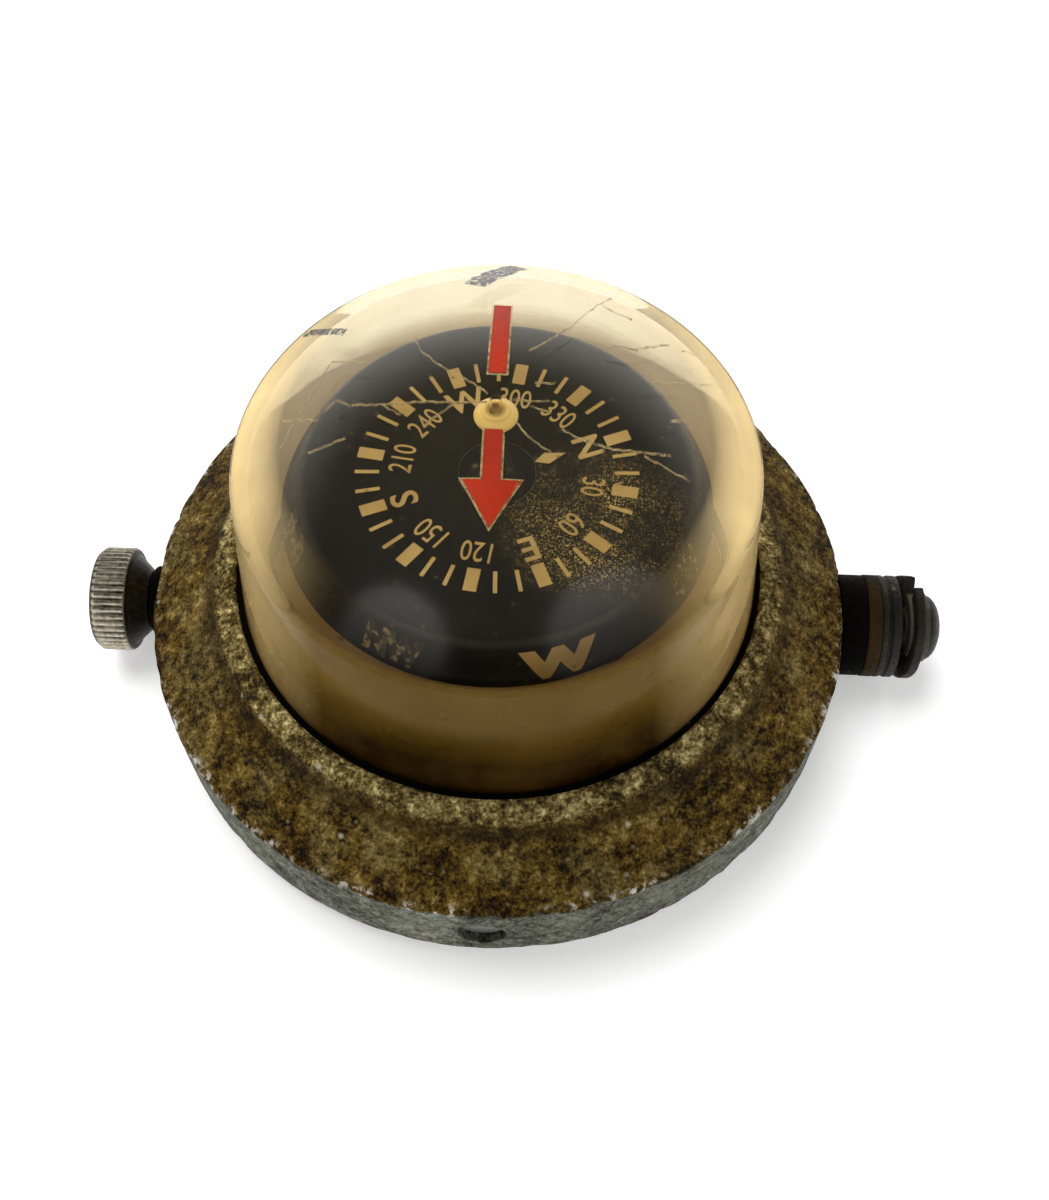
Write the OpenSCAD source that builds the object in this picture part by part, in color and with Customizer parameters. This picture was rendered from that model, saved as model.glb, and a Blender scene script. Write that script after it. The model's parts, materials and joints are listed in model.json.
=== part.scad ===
// Bracket-mounted marine compass: die-cast ring, clear dome, card floating on a pivot.
// +Z is up and the compass stands on Z = 0. The bracket pivots lie along X,
// and the lubber arrow in the crown points along -Y.

/* [Base ring] */
// Diameter of the base ring at its top outer edge
base_d = 114; // [112:1:138]
// Height of the side wall
side_h = 14.6; // [14.2:0.1:18]
// Height of the ring's lower edge above the surface that the compass stands on
foot_h = 3.5; // [3.2:0.1:5]
// Draft of the side wall, on the radius
side_draft = 0.3; // [0:0.1:0.6]
// Rise of the conical top from its outer edge to the collar step
cone_rise = 6.7; // [6:0.1:9]
// Thickness of the side wall
ring_wall = 6.7; // [6:0.1:8]
// Small chamfer round the top outer edge
edge_chamfer = 0.4; // [0.2:0.1:0.8]
// Width of the raised collar round the dome
collar_w = 2.6; // [2:0.1:4]
// Height of the step at the foot of the collar
collar_step = 1.0; // [0.6:0.1:1.6]
// Rise of the collar's top towards the dome
collar_rise = 1.5; // [0.8:0.1:2.5]
// Depth of the lip that holds the dome down
lip_depth = 5.5; // [5:0.1:6]
// Depth of the flat faces under the pivot washers
spot_depth = 0.5; // [0.4:0.1:1]

/* [Dome] */
// Outer diameter of the dome where it leaves the ring
dome_d = 82; // [68:1:83]
// Height of the crown above the lip
dome_h = 40; // [36:0.5:50]
// How much narrower the wall is at its top, on the radius
dome_taper = 2.1; // [1:0.1:3]
// Rise of the crown over its corner
crown_h = 13.8; // [11:0.1:17]
// Radius of the rounded shoulder
shoulder_r = 2.5; // [1.8:0.1:4]
// Thickness of the upper wall and the crown
dome_t = 2.4; // [2:0.1:3]
// Extra thickness of the lower wall
dome_t_extra = 0.8; // [0.4:0.1:1.2]
// Height of the thick lower wall above the lip
thick_wall_h = 15; // [8:0.5:20]
// Width of the dome's flange outside its wall
flange_w = 4; // [3:0.1:4]
// Thickness of the dome's flange
flange_t = 2.4; // [2:0.1:3]
// Width of the gasket lip between dome and ring
gasket_lip = 1.0; // [0.8:0.1:1.4]
// Thickness of the gasket on the flange
gasket_t = 0.8; // [0.6:0.1:1.2]

/* [Lubber arrow] */
// Width of the tail bar and the shaft
arrow_w = 2.5; // [2:0.1:4]
// Width over the barbs
arrow_head_w = 8; // [6:0.1:12]
// Distance of the tail's far end behind the centre
arrow_tail = 20.7; // [14:0.1:24]
// Distance of the bar and of the shaft from the centre
arrow_gap = 5; // [4.5:0.1:7]
// Distance of the barbs ahead of the centre
arrow_barb = 12.7; // [9:0.1:14]
// Distance of the tip ahead of the centre
arrow_tip = 19.4; // [16:0.1:23]
// Depth of the moulded groove
groove_depth = 0.8; // [0.5:0.1:1.2]
// Depth of the red filling below the crown's surface
fill_depth = 0.25; // [0.1:0.05:0.4]

/* [Crown boss] */
// Diameter of the pale boss under the crown
boss_d = 7; // [5:0.1:8.5]
// Length of the boss below the crown
boss_h = 2.5; // [1.5:0.1:4]
// Diameter of the hole through crown and boss
boss_hole_d = 1.6; // [1:0.1:2.4]

/* [Card] */
// Depth of the card's face below the top of the crown
card_drop = 17.2; // [15:0.1:20]
// Gap between the skirt's lower edge and the dome
card_gap = 4.5; // [4:0.1:8]
// How much wider the skirt is than the face, on the radius
skirt_flare = 3.3; // [1:0.1:5]
// Depth of the skirt
skirt_h = 7.2; // [5:0.1:9]
// Thickness of the card
card_t = 0.8; // [0.6:0.1:1.2]
// Diameter of the hub that shows in the middle of the card
hub_d = 11.2; // [10:0.1:13]
// Heading of the card's north mark, counted from +X
card_heading = 22; // [-180:1:180]
// Depth of the pivot point below the card's face
pivot_drop = 3.6; // [3.4:0.1:5]
// Outer diameter of the float
float_d = 20; // [18:0.5:26]
// Height of the float below the card
float_h = 6.3; // [6:0.1:8]
// Diameter of the bore of the float round the head of the post
float_bore = 8.6; // [8.4:0.1:9]

/* [Magnets] */
// Width and height of a bar magnet
magnet_w = 4; // [3:0.1:5]
// Length of a bar magnet
magnet_l = 34; // [24:1:40]
// Distance between the two bar magnets
magnet_gap = 10; // [9.8:0.1:12]
// Thickness of the cradle plate
cradle_t = 0.8; // [0.6:0.1:1.2]

/* [Pivot post] */
// Diameter of the post
post_d = 6; // [5:0.1:8]
// Diameter of the neck below the head
neck_d = 2.6; // [2.2:0.1:2.8]
// Diameter of the head of the post
head_d = 6.2; // [6:0.1:6.6]
// Diameter of the pivot pin
pin_d = 1.6; // [1.2:0.1:1.8]
// Diameter of the jewel
jewel_d = 3.2; // [2.8:0.1:3.6]
// Diameter of the jewel cup
cup_d = 6; // [5.4:0.1:6.4]

/* [Bowl] */
// Thickness of the bowl's sheet
bowl_t = 1.2; // [1:0.1:1.6]
// Thickness of the bowl's flange
bowl_flange_t = 1.4; // [1:0.1:2]
// Thickness of the bowl seal
seal_t = 0.6; // [0.4:0.1:1]
// Thickness of the clamp ring
clamp_t = 1.8; // [1.4:0.1:2]
// Thread diameter of the clamp and cover screws
screw_d = 2.4; // [2:0.1:2.6]
// Number of clamp screws
clamp_screw_n = 6; // [4:1:6]
// Angle of the first clamp screw
clamp_screw_angle = 15; // [12:1:18]
// Diameter of the expansion diaphragm
diaphragm_d = 24; // [18:0.5:26]
// Thread diameter of the filler plug
filler_d = 5; // [4:0.5:7]

/* [Back cover] */
// Thickness of the cover's sheet
cover_t = 1.2; // [1:0.1:1.6]
// Diameter of the flat face that the compass stands on
rest_d = 88; // [76:1:92]

/* [Bracket pivots] */
// Depth of the pivots and the compensator shafts below the clamp ring
pivot_below = 4.4; // [4.3:0.1:5]
// Thread diameter of the thumbscrew and the pivot screw
thread_d = 6.3; // [5:0.1:6.5]
// Length of thread inside the ring
thread_l = 10.5; // [8:0.5:12]
// Diameter of the knurled rim
knob_d = 17.5; // [14:0.5:19.5]
// Width of the knurled rim
knob_w = 5.8; // [4:0.1:9]
// Number of knurled ridges
knurl_n = 44; // [30:1:60]
// Depth of the knurl
knurl_depth = 0.45; // [0.2:0.05:0.7]
// Diameter of the thumbscrew's hub
knob_hub_d = 10.5; // [9:0.1:12]
// Length of the thumbscrew's hub
knob_hub_l = 3.6; // [2:0.1:6]
// Diameter of the washer under the thumbscrew
thumb_washer_d = 11.6; // [10:0.1:16]
// Thickness of the washer under the thumbscrew
thumb_washer_t = 2.1; // [1:0.1:3]
// Outer diameter of the pivot washers
washer_d = 17.2; // [12:0.1:18]
// Length of the rubber bush
bush_l = 4.5; // [2:0.1:6]
// Thickness of the fibre washer
fibre_t = 2.3; // [1:0.1:3]
// Thickness of the steel washer
steel_t = 3.1; // [1:0.1:4]
// Thickness of the sprung washer's strip
spring_t = 1.6; // [1:0.1:2]
// Diameter of the pivot screw's head
screw_head_d = 11.6; // [9:0.1:14]
// Width of the band of the pivot screw's head
screw_band = 2.3; // [1:0.1:4]
// Height of the rounded end of the pivot screw's head
screw_crown = 2.6; // [1:0.1:4]

/* [Compensators] */
// Diameter of the slotted heads in the side wall
comp_head_d = 7.36; // [6:0.02:7.4]
// Diameter of the compensator shafts
comp_shaft_d = 4.6; // [4:0.1:5.2]
// Depth of the slotted heads below the side wall
comp_recess = 1.8; // [1:0.1:2.6]
// Distance of the shafts' inner ends from the middle
comp_inner = 14; // [12:0.5:18]
// Distance of the east-west shaft behind the middle
comp_ew_y = 22; // [20:0.5:26]
// Diameter of the compensator magnets
comp_magnet_d = 2.4; // [1.8:0.1:2.8]
// Length of the compensator magnets
comp_magnet_l = 5.8; // [5:0.1:6]
// Thickness of the strap
strap_t = 1; // [0.8:0.1:1.4]
// Width of the strap's ears
ear_w = 8; // [7:0.1:10]

/* [Hidden] */
$fn = 96;
RUN = 0.05;    // radial clearance of a turning fit
SEAT = 0.3;    // clearance of a piece that drops into its seat
eps = 0.01;

// heights, from the surface that the compass stands on
z_ring = foot_h;
z_edge = z_ring + side_h;
z_step = z_edge + cone_rise;
z_collar = z_step + collar_step;
z_lip = z_collar + collar_rise;
z_seat = z_lip - lip_depth;
z_flange = z_seat - gasket_t;
z_seal = z_flange - flange_t;
z_bowl = z_seal - seal_t;
z_clamp = z_bowl - bowl_flange_t;
z_clamp_low = z_clamp - clamp_t;
pivot_z = z_clamp_low - pivot_below;
bowl_depth = 1.4;
z_floor = z_clamp - bowl_depth;
z_floor_low = z_floor - bowl_t;
z_apex = z_lip + dome_h;
z_corner = z_apex - crown_h;
z_card = z_apex - card_drop;
z_pivot = z_card - pivot_drop;
z_float_low = z_card - card_t - float_h;
z_cradle_low = z_float_low - cradle_t;

// radii
r_base = base_d / 2;
r_cavity = r_base - ring_wall;
r_dome = dome_d / 2;
r_open = r_dome + gasket_lip;
r_collar = r_open + collar_w;
r_flange = r_dome + flange_w;
r_seat = r_flange + SEAT;
r_top = r_dome - dome_taper;
r_thread = thread_d / 2;
r_bolt = r_thread + RUN;
r_wall_in = r_dome - dome_t - dome_t_extra;
r_bowl = r_wall_in + bowl_t;
clamp_pcd = r_seat + screw_d / 2 + 1.5;
cover_pcd = r_cavity + 2.5;
r_cover = cover_pcd + 2.7;
x_spot = r_base - spot_depth;

// crown: a ball cap through the corner, and the wall's lean
crown_r = (r_top * r_top + crown_h * crown_h) / (2 * crown_h);
z_ball = z_apex - crown_r;
wall_lean = atan(dome_taper / (z_corner - z_lip));
function wall_r(z) = r_dome - (z - z_lip) * tan(wall_lean);

// card, tied to the dome's inner wall at the skirt's lower edge
z_skirt = z_card - skirt_h;
r_skirt = wall_r(z_skirt) - dome_t - card_gap;
r_card = r_skirt - skirt_flare;

// how far the jewel cup reaches below the pivot point
cup_skirt = 0.4;

// bracket pivots, along X
x_washer = x_spot + bush_l;
x_steel = x_washer + fibre_t;
x_spring = x_steel + steel_t;
spring_bow = 14.5;
spring_in = spring_bow - spring_t;
spring_rise = spring_in - sqrt(spring_in * spring_in - pow(screw_head_d / 2, 2));
x_head = x_spring + spring_t + spring_rise + 0.02;
x_thumb = x_spot + thumb_washer_t;
washer_bore = thread_d + 0.5;

// compensators
r_comp_head = comp_head_d / 2;
r_comp_bore = r_comp_head + RUN + 0.02;
r_comp_shaft = comp_shaft_d / 2;
comp_collar_r = r_comp_bore + 0.45;
comp_head_l = ring_wall - comp_recess - 0.4;
ew_wall_x = sqrt(r_base * r_base - comp_ew_y * comp_ew_y);
ew_inner_x = sqrt(r_cavity * r_cavity - pow(comp_ew_y + comp_collar_r, 2));
z_strap = cover_t;
// diaphragm and filler plug sit midway between the post's foot and the bowl's wall
post_foot_r = post_d / 2 + 3.5;
mid_floor = (post_foot_r + r_wall_in) / 2;
diaphragm_pos = [-mid_floor, 0];
filler_pos = [mid_floor * cos(30), -mid_floor * sin(30)];

// points of an arc round c, from angle a0 to a1
function arc(c, r, a0, a1, n) =
  [for (i = [0:n]) [c[0] + r * cos(a0 + (a1 - a0) * i / n), c[1] + r * sin(a0 + (a1 - a0) * i / n)]];

// centre of the shoulder's arc, tangent to the leaning wall and to the crown
function shoulder_c(rt, zt, f, rc) =
  let (q = [rt - f * cos(wall_lean), zt - f * sin(wall_lean) - z_ball],
       d = [-sin(wall_lean), cos(wall_lean)],
       along = q * d,
       s = sqrt(along * along - q * q + pow(rc - f, 2)) - along)
  [q[0] + s * d[0], q[1] + s * d[1] + z_ball];

// upper outline of the dome: shoulder arc, then crown up to the axis
function crown_outline(rt, zt, f, rc) =
  let (c = shoulder_c(rt, zt, f, rc),
       turn = atan2(c[1] - z_ball, c[0]))
  concat(arc(c, f, wall_lean, turn, 6), [for (i = [1:14]) let (a = turn + (90 - turn) * i / 14)
    [rc * cos(a), z_ball + rc * sin(a)]]);

module ring(r_out, r_in, z0, z1)
  translate([0, 0, z0])
    difference() {
      cylinder(r = r_out, h = z1 - z0);
      translate([0, 0, -1])
        cylinder(r = r_in, h = z1 - z0 + 2);
    }

module rod(r, z0, z1)
  translate([0, 0, z0])
    cylinder(r = r, h = z1 - z0);

// places a child built along +Z so that it points out along +X or -X at the pivots' height
module out_right(x)
  translate([x, 0, pivot_z])
    rotate([0, 90, 0])
      children();

module out_left(x)
  translate([-x, 0, pivot_z])
    rotate([0, -90, 0])
      children();

module out_front(y, x = 0)
  translate([x, -y, pivot_z])
    rotate([90, 0, 0])
      children();

module around(n, r, a0)
  for (i = [0:n - 1])
    rotate([0, 0, a0 + 360 * i / n])
      translate([r, 0, 0])
        children();

module arrow_outline() {
  half = arrow_w / 2;
  translate([-half, arrow_gap])
    square([arrow_w, arrow_tail - arrow_gap]);
  polygon([[-half, -arrow_gap], [-half, -arrow_barb], [-arrow_head_w / 2, -arrow_barb],
    [0, -arrow_tip], [arrow_head_w / 2, -arrow_barb], [half, -arrow_barb], [half, -arrow_gap]]);
}

// the arrow's outline as a solid between two depths below the crown
module arrow_solid(depth, top)
  difference() {
    intersection() {
      translate([0, 0, z_corner])
        linear_extrude(crown_h + 2)
          arrow_outline();
      translate([0, 0, z_ball])
        sphere(r = crown_r - top, $fn = 180);
    }
    translate([0, 0, z_ball])
      sphere(r = crown_r - depth, $fn = 180);
  }

module base_ring() {
  boss_x = 6.5;
  boss_half = 6;
  boss_low = pivot_z - 5.8;
  boss_top = z_clamp_low - 0.4;
  color("darkolivegreen")
    difference() {
      union() {
        rotate_extrude()
          polygon([[r_base - side_draft, z_ring], [r_base, z_edge - edge_chamfer],
            [r_base - edge_chamfer, z_edge], [r_collar + 0.3, z_step], [r_collar, z_collar],
            [r_open + 0.5, z_lip], [r_open, z_lip - 0.5], [r_open, z_seat], [r_seat, z_seat],
            [r_seat, z_clamp], [r_cavity, z_clamp], [r_cavity, z_ring]]);
        for (side = [-1, 1])
          translate([side * (r_cavity - boss_x / 2), 0, (boss_low + boss_top) / 2])
            cube([boss_x + 1, 2 * boss_half, boss_top - boss_low], center = true);
      }
      // flat faces and threaded bores of the two pivots
      out_right(x_spot)
        cylinder(d = washer_d + 1, h = 3);
      out_left(x_spot)
        cylinder(d = washer_d + 1, h = 3);
      out_right(r_cavity - boss_x - 1)
        cylinder(r = r_bolt, h = ring_wall + boss_x + 2);
      out_left(r_cavity - boss_x - 1)
        cylinder(r = r_bolt, h = ring_wall + boss_x + 2);
      // bores of the compensator heads
      out_front(r_cavity - 2)
        cylinder(r = r_comp_bore, h = ring_wall + 3);
      translate([0, comp_ew_y, 0])
        out_right(ew_inner_x - 2)
          cylinder(r = r_comp_bore, h = ew_wall_x - ew_inner_x + 5);
      // screw holes
      around(clamp_screw_n, clamp_pcd, clamp_screw_angle)
        rod(screw_d / 2 + RUN, z_clamp - 1, z_clamp + 3.6);
      around(4, cover_pcd, 45)
        rod(screw_d / 2 + RUN, z_ring - 1, z_ring + 6.4);
    }
}

module dome() {
  z_thick = z_lip + thick_wall_h;
  r_in = r_top - dome_t;
  crown_in = crown_r - dome_t;
  z_in = z_ball + sqrt(crown_in * crown_in - r_in * r_in);
  color("khaki", 0.4)
    difference() {
      rotate_extrude()
        polygon(concat([[0, z_seal], [r_flange, z_seal], [r_flange, z_flange], [r_dome, z_flange],
          [r_dome, z_lip]], crown_outline(r_top, z_corner, shoulder_r, crown_r)));
      rotate_extrude()
        polygon(concat([[0, z_seal - 1], [r_wall_in, z_seal - 1], [r_wall_in, z_lip],
          [wall_r(z_thick) - dome_t - dome_t_extra, z_thick],
          [wall_r(z_thick + 1) - dome_t, z_thick + 1]],
          crown_outline(r_in, z_in, 1.2, crown_in)));
      arrow_solid(groove_depth, -1);
      rod(boss_hole_d / 2, z_apex - 2 * dome_t, z_apex + 1);
    }
}

module arrow_inlay()
  color("firebrick")
    arrow_solid(groove_depth, fill_depth);

module crown_boss()
  color("cornsilk")
    difference() {
      intersection() {
        rod(boss_d / 2, z_apex - dome_t - boss_h, z_apex);
        translate([0, 0, z_ball])
          sphere(r = crown_r - dome_t - 0.05, $fn = 180);
      }
      rod(boss_hole_d / 2, z_apex - dome_t - 0.6 * boss_h, z_apex);
    }

module dome_gasket()
  color("black")
    rotate_extrude()
      polygon([[r_dome + RUN, z_flange], [r_flange, z_flange], [r_flange, z_seat],
        [r_open - RUN, z_seat], [r_open - RUN, z_lip - 0.7], [r_dome + RUN, z_lip - 0.7]]);

module bowl()
  color("antiquewhite")
    difference() {
      rotate_extrude()
        polygon([[0, z_floor_low], [r_bowl, z_floor_low], [r_bowl, z_clamp], [r_flange, z_clamp],
          [r_flange, z_bowl], [r_wall_in, z_bowl], [r_wall_in, z_floor], [0, z_floor]]);
      translate([diaphragm_pos[0], diaphragm_pos[1], 0])
        rod(diaphragm_d / 2 - 3, z_floor_low - 1, z_floor + 1);
      translate([filler_pos[0], filler_pos[1], 0])
        rod(filler_d / 2 + RUN, z_floor_low - 1, z_floor + 1);
    }

module bowl_seal()
  color("dimgray")
    ring(r_flange, r_wall_in + 0.4, z_bowl, z_seal);

module clamp_ring()
  color("silver")
    difference() {
      ring(r_cavity - SEAT, r_bowl + SEAT, z_clamp_low, z_clamp);
      around(clamp_screw_n, clamp_pcd, clamp_screw_angle)
        rod(screw_d / 2 + RUN, z_clamp_low - 1, z_clamp + 1);
    }

// pan-head screw that points up, with its head below z
module pan_screw(z, shank_l, head_r, head_h)
  difference() {
    union() {
      rod(screw_d / 2, z - eps, z + shank_l);
      rod(head_r, z - head_h, z);
    }
    translate([-0.35, -head_r - 1, z - head_h - 1])
      cube([0.7, 2 * head_r + 2, 1.6]);
  }

module clamp_screws()
  color("gray")
    around(clamp_screw_n, clamp_pcd, clamp_screw_angle)
      pan_screw(z_clamp_low, clamp_t + 3.2, 2.1, 1.5);

module diaphragm()
  color("goldenrod")
    translate([diaphragm_pos[0], diaphragm_pos[1], 0])
      difference() {
        rod(diaphragm_d / 2, z_floor_low - 0.6, z_floor_low);
        // two pressed corrugations
        for (r = [3, 6])
          ring(r + 0.8, r - 0.8, z_floor_low - 0.3, z_floor_low + 1);
      }

module diaphragm_ring()
  color("peru")
    translate([diaphragm_pos[0], diaphragm_pos[1], 0])
      ring(diaphragm_d / 2, diaphragm_d / 2 - 2.5, z_floor_low - 1.6, z_floor_low - 0.6);

module filler_seal()
  color("brown")
    translate([filler_pos[0], filler_pos[1], 0])
      ring(filler_d / 2 + 1.8, filler_d / 2 + RUN, z_floor_low - 0.6, z_floor_low);

module filler_plug()
  color("darkgoldenrod")
    translate([filler_pos[0], filler_pos[1], 0])
      difference() {
        union() {
          rod(filler_d / 2, z_floor_low - 1, z_floor + 0.6);
          rod(filler_d / 2 + 1.8, z_floor_low - 2.8, z_floor_low - 0.6);
        }
        translate([-0.5, -filler_d, z_floor_low - 3.8])
          cube([1, 2 * filler_d, 2.1]);
      }

module pivot_post() {
  z_neck = z_cradle_low - magnet_w - 1.4;
  z_head = z_float_low + 0.1;
  color("darkgoldenrod")
    difference() {
      union() {
        rod(post_foot_r, z_floor, z_floor + 1.8);
        rod(post_d / 2, z_floor, z_neck);
        rod(neck_d / 2, z_neck - 1, z_head + 1);
        rod(head_d / 2, z_head, z_head + 2.2);
      }
      rod(pin_d / 2 + 0.02, z_head + 0.4, z_head + 3);
    }
}

module pivot_pin() {
  z_head = z_float_low + 0.1;
  tip_h = 2;
  color("lightsteelblue") {
    rod(pin_d / 2, z_head + 0.5, z_pivot - tip_h);
    translate([0, 0, z_pivot - tip_h - eps])
      cylinder(d1 = pin_d, d2 = 0.1, h = tip_h);
  }
}

module jewel()
  color("crimson")
    difference() {
      translate([0, 0, z_pivot])
        sphere(d = jewel_d);
      translate([0, 0, z_pivot - 3])
        cylinder(r1 = 3.05, r2 = 0.05, h = 3.05);
    }

module jewel_cup()
  color("gold")
    difference() {
      rod(cup_d / 2, z_pivot - cup_skirt, z_card - 0.9);
      translate([0, 0, z_pivot])
        sphere(r = jewel_d / 2 + RUN);
      rod(jewel_d / 2 + RUN, z_pivot - 2, z_pivot);
    }

module card()
  color("black")
    rotate_extrude()
      polygon([[hub_d / 2, z_card - card_t], [r_card - 1, z_card - card_t],
        [r_skirt - card_t, z_skirt], [r_skirt, z_skirt], [r_card, z_card - 0.9],
        [r_card - 0.9, z_card], [hub_d / 2, z_card]]);

module float_hub()
  color("dimgray")
    difference() {
      union() {
        rod(float_d / 2, z_float_low, z_card - card_t);
        rod(hub_d / 2 - 0.03, z_card - card_t - 1, z_card);
      }
      rod(float_bore / 2, z_float_low - 1, z_pivot - cup_skirt);
      rod(cup_d / 2 + RUN, z_pivot - 1, z_card - 0.9 + RUN);
    }

module magnet_cradle()
  color("darkgoldenrod")
    rotate([0, 0, card_heading])
      difference() {
        union() {
          rod(float_d / 2, z_cradle_low, z_float_low);
          for (side = [-1, 1])
            translate([-magnet_l / 4, side * (magnet_gap + magnet_w) / 2 - magnet_w / 2, z_cradle_low])
              cube([magnet_l / 2, magnet_w, cradle_t]);
        }
        rod(float_bore / 2, z_cradle_low - 1, z_float_low + 1);
      }

module card_retainer()
  color("goldenrod")
    ring(magnet_gap / 2 - 0.1, 2.5, z_cradle_low - 0.7, z_cradle_low);

module bar_magnet(side)
  color("darkslategray")
    rotate([0, 0, card_heading])
      translate([-magnet_l / 2, side * (magnet_gap + magnet_w) / 2 - magnet_w / 2, z_cradle_low - magnet_w])
        cube([magnet_l, magnet_w, magnet_w]);

module magnet_left()
  bar_magnet(1);

module magnet_right()
  bar_magnet(-1);

// shaft that points out along +Z, its head's face at z = 0
module comp_shaft(length, collar_at)
  difference() {
    union() {
      rod(r_comp_head, -comp_head_l, 0);
      rod(r_comp_shaft, -length, -comp_head_l + eps);
      rod(comp_collar_r, -collar_at - 1.2, -collar_at);
    }
    translate([-r_comp_head - 1, -0.5, -1.3])
      cube([2 * r_comp_head + 2, 1, 2]);
    translate([0, 0, 9 - length])
      rotate([0, 90, 0])
        cylinder(d = comp_magnet_d + 0.04, h = 4 * r_comp_shaft, center = true);
  }

module comp_magnet()
  rotate([0, 90, 0])
    cylinder(d = comp_magnet_d, h = comp_magnet_l, center = true);

ns_face = r_base - comp_recess;
ew_face = ew_wall_x - comp_recess;

module compensator_shaft_ns()
  color("peru")
    out_front(ns_face)
      comp_shaft(ns_face - comp_inner, ns_face - r_cavity + 0.35);

module compensator_magnet_ns()
  color("darkslategray")
    out_front(comp_inner + 9)
      comp_magnet();

module compensator_shaft_ew()
  color("peru")
    translate([0, comp_ew_y, 0])
      out_right(ew_face)
        comp_shaft(ew_face - comp_inner, ew_face - ew_inner_x + 0.35);

module compensator_magnet_ew()
  color("darkslategray")
    translate([0, comp_ew_y, 0])
      out_right(comp_inner + 9)
        comp_magnet();

// strap on the cover with one upright ear at the inner end of each shaft
module compensator_strap() {
  ear_h = pivot_z + r_comp_shaft + 0.8 - z_strap;
  ear_at = comp_inner + 2;
  half = ear_w / 2;
  color("darkgoldenrod")
    difference() {
      union() {
        translate([-half, -ear_at - strap_t, z_strap])
          cube([ear_w, ear_at + strap_t + comp_ew_y + half, strap_t]);
        translate([-half, comp_ew_y - half, z_strap])
          cube([half + ear_at + strap_t, ear_w, strap_t]);
        translate([-half, -ear_at - strap_t, z_strap])
          cube([ear_w, strap_t, ear_h]);
        translate([ear_at, comp_ew_y - half, z_strap])
          cube([strap_t, ear_w, ear_h]);
      }
      out_front(ear_at - 1)
        cylinder(r = r_comp_shaft + RUN, h = strap_t + 2);
      translate([0, comp_ew_y, 0])
        out_right(ear_at - 1)
          cylinder(r = r_comp_shaft + RUN, h = strap_t + 2);
      for (y = [-8, 10])
        translate([0, y, 0])
          rod(screw_d / 2 + RUN, z_strap - 1, z_strap + strap_t + 1);
    }
}

// rivet-like screws that hold the strap down, their heads above it
module strap_screws()
  color("gray")
    for (y = [-8, 10])
      translate([0, y, 0]) {
        rod(screw_d / 2, z_strap - cover_t + 0.4, z_strap + strap_t + eps);
        rod(2.1, z_strap + strap_t, z_strap + strap_t + 1.2);
      }

module back_cover()
  color("gray")
    difference() {
      rotate_extrude()
        polygon([[0, 0], [rest_d / 2, 0], [rest_d / 2 + cover_t, cover_t],
          [rest_d / 2 + cover_t, z_ring - cover_t], [r_cover, z_ring - cover_t], [r_cover, z_ring],
          [rest_d / 2, z_ring], [rest_d / 2, cover_t], [0, cover_t]]);
      around(4, cover_pcd, 45)
        rod(screw_d / 2 + RUN, -1, z_ring + 1);
      for (y = [-8, 10])
        translate([0, y, 0])
          rod(screw_d / 2 + RUN, 0.4, cover_t + 1);
    }

module cover_screws()
  color("silver")
    around(4, cover_pcd, 45)
      pan_screw(z_ring - cover_t, cover_t + 6, 2.3, 1.5);

// outline of the knurled rim, one ridge for each step
module knurl_outline()
  polygon([for (i = [0:2 * knurl_n - 1])
    let (a = 180 * i / knurl_n, r = knob_d / 2 - (i % 2) * knurl_depth)
    [r * cos(a), r * sin(a)]]);

module thumbscrew() {
  r = knob_d / 2;
  rim0 = knob_hub_l;
  rim1 = knob_hub_l + knob_w;
  color("lightgray")
    out_left(x_thumb)
      union() {
        rod(r_thread, -thumb_washer_t - thread_l, 0.5);
        rod(knob_hub_d / 2, 0, rim0 + 2);
        intersection() {
          translate([0, 0, rim0])
            linear_extrude(knob_w)
              knurl_outline();
          // chamfered rim with a hollow inner face and a shallow dished end
          rotate_extrude()
            polygon([[0, rim0 + 1.4], [knob_hub_d / 2, rim0 + 1.4], [r - 0.9, rim0], [r - 0.4, rim0],
              [r + 0.1, rim0 + 0.5], [r + 0.1, rim1 - 1], [r - 0.9, rim1], [r - 2, rim1],
              [r - 2.4, rim1 - 0.5], [0, rim1 - 0.5]]);
        }
      }
}

module thumb_washer()
  color("black")
    out_left(x_spot)
      ring(thumb_washer_d / 2, washer_bore / 2, 0, thumb_washer_t);

module pivot_bush()
  color("black")
    out_right(x_spot)
      ring(washer_d / 2 - 0.1, washer_bore / 2, 0, bush_l);

module fibre_washer()
  color("saddlebrown")
    out_right(x_washer)
      ring(washer_d / 2, washer_bore / 2, 0, fibre_t);

module steel_washer()
  color("dimgray")
    out_right(x_steel)
      difference() {
        ring(washer_d / 2, washer_bore / 2, 0, steel_t);
        // turned groove round the rim
        ring(washer_d, washer_d / 2 - 0.5, steel_t / 2 - 0.5, steel_t / 2 + 0.1);
      }

// strip washer bowed about an upright axis, split at the top, with one end turned out
module spring_washer() {
  r_out = washer_d / 2 + 0.2;
  color("dimgray")
    out_right(x_spring)
      union() {
        difference() {
          intersection() {
            ring(r_out, r_out - 3.4, 0, 5);
            translate([0, 0, spring_bow])
              rotate([0, 90, 0])
                cylinder(r = spring_bow, h = 40, center = true);
          }
          translate([0, 0, spring_bow])
            rotate([0, 90, 0])
              cylinder(r = spring_in, h = 42, center = true);
          translate([-r_out - 1, -1.6, -1])
            cube([r_out, 1.6, 7]);
        }
        intersection() {
          ring(r_out, r_out - 2.6, spring_t / 2, 3.9);
          translate([-r_out - 1, 0, 0])
            cube([r_out, 3.2, 6]);
        }
      }
}

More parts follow.
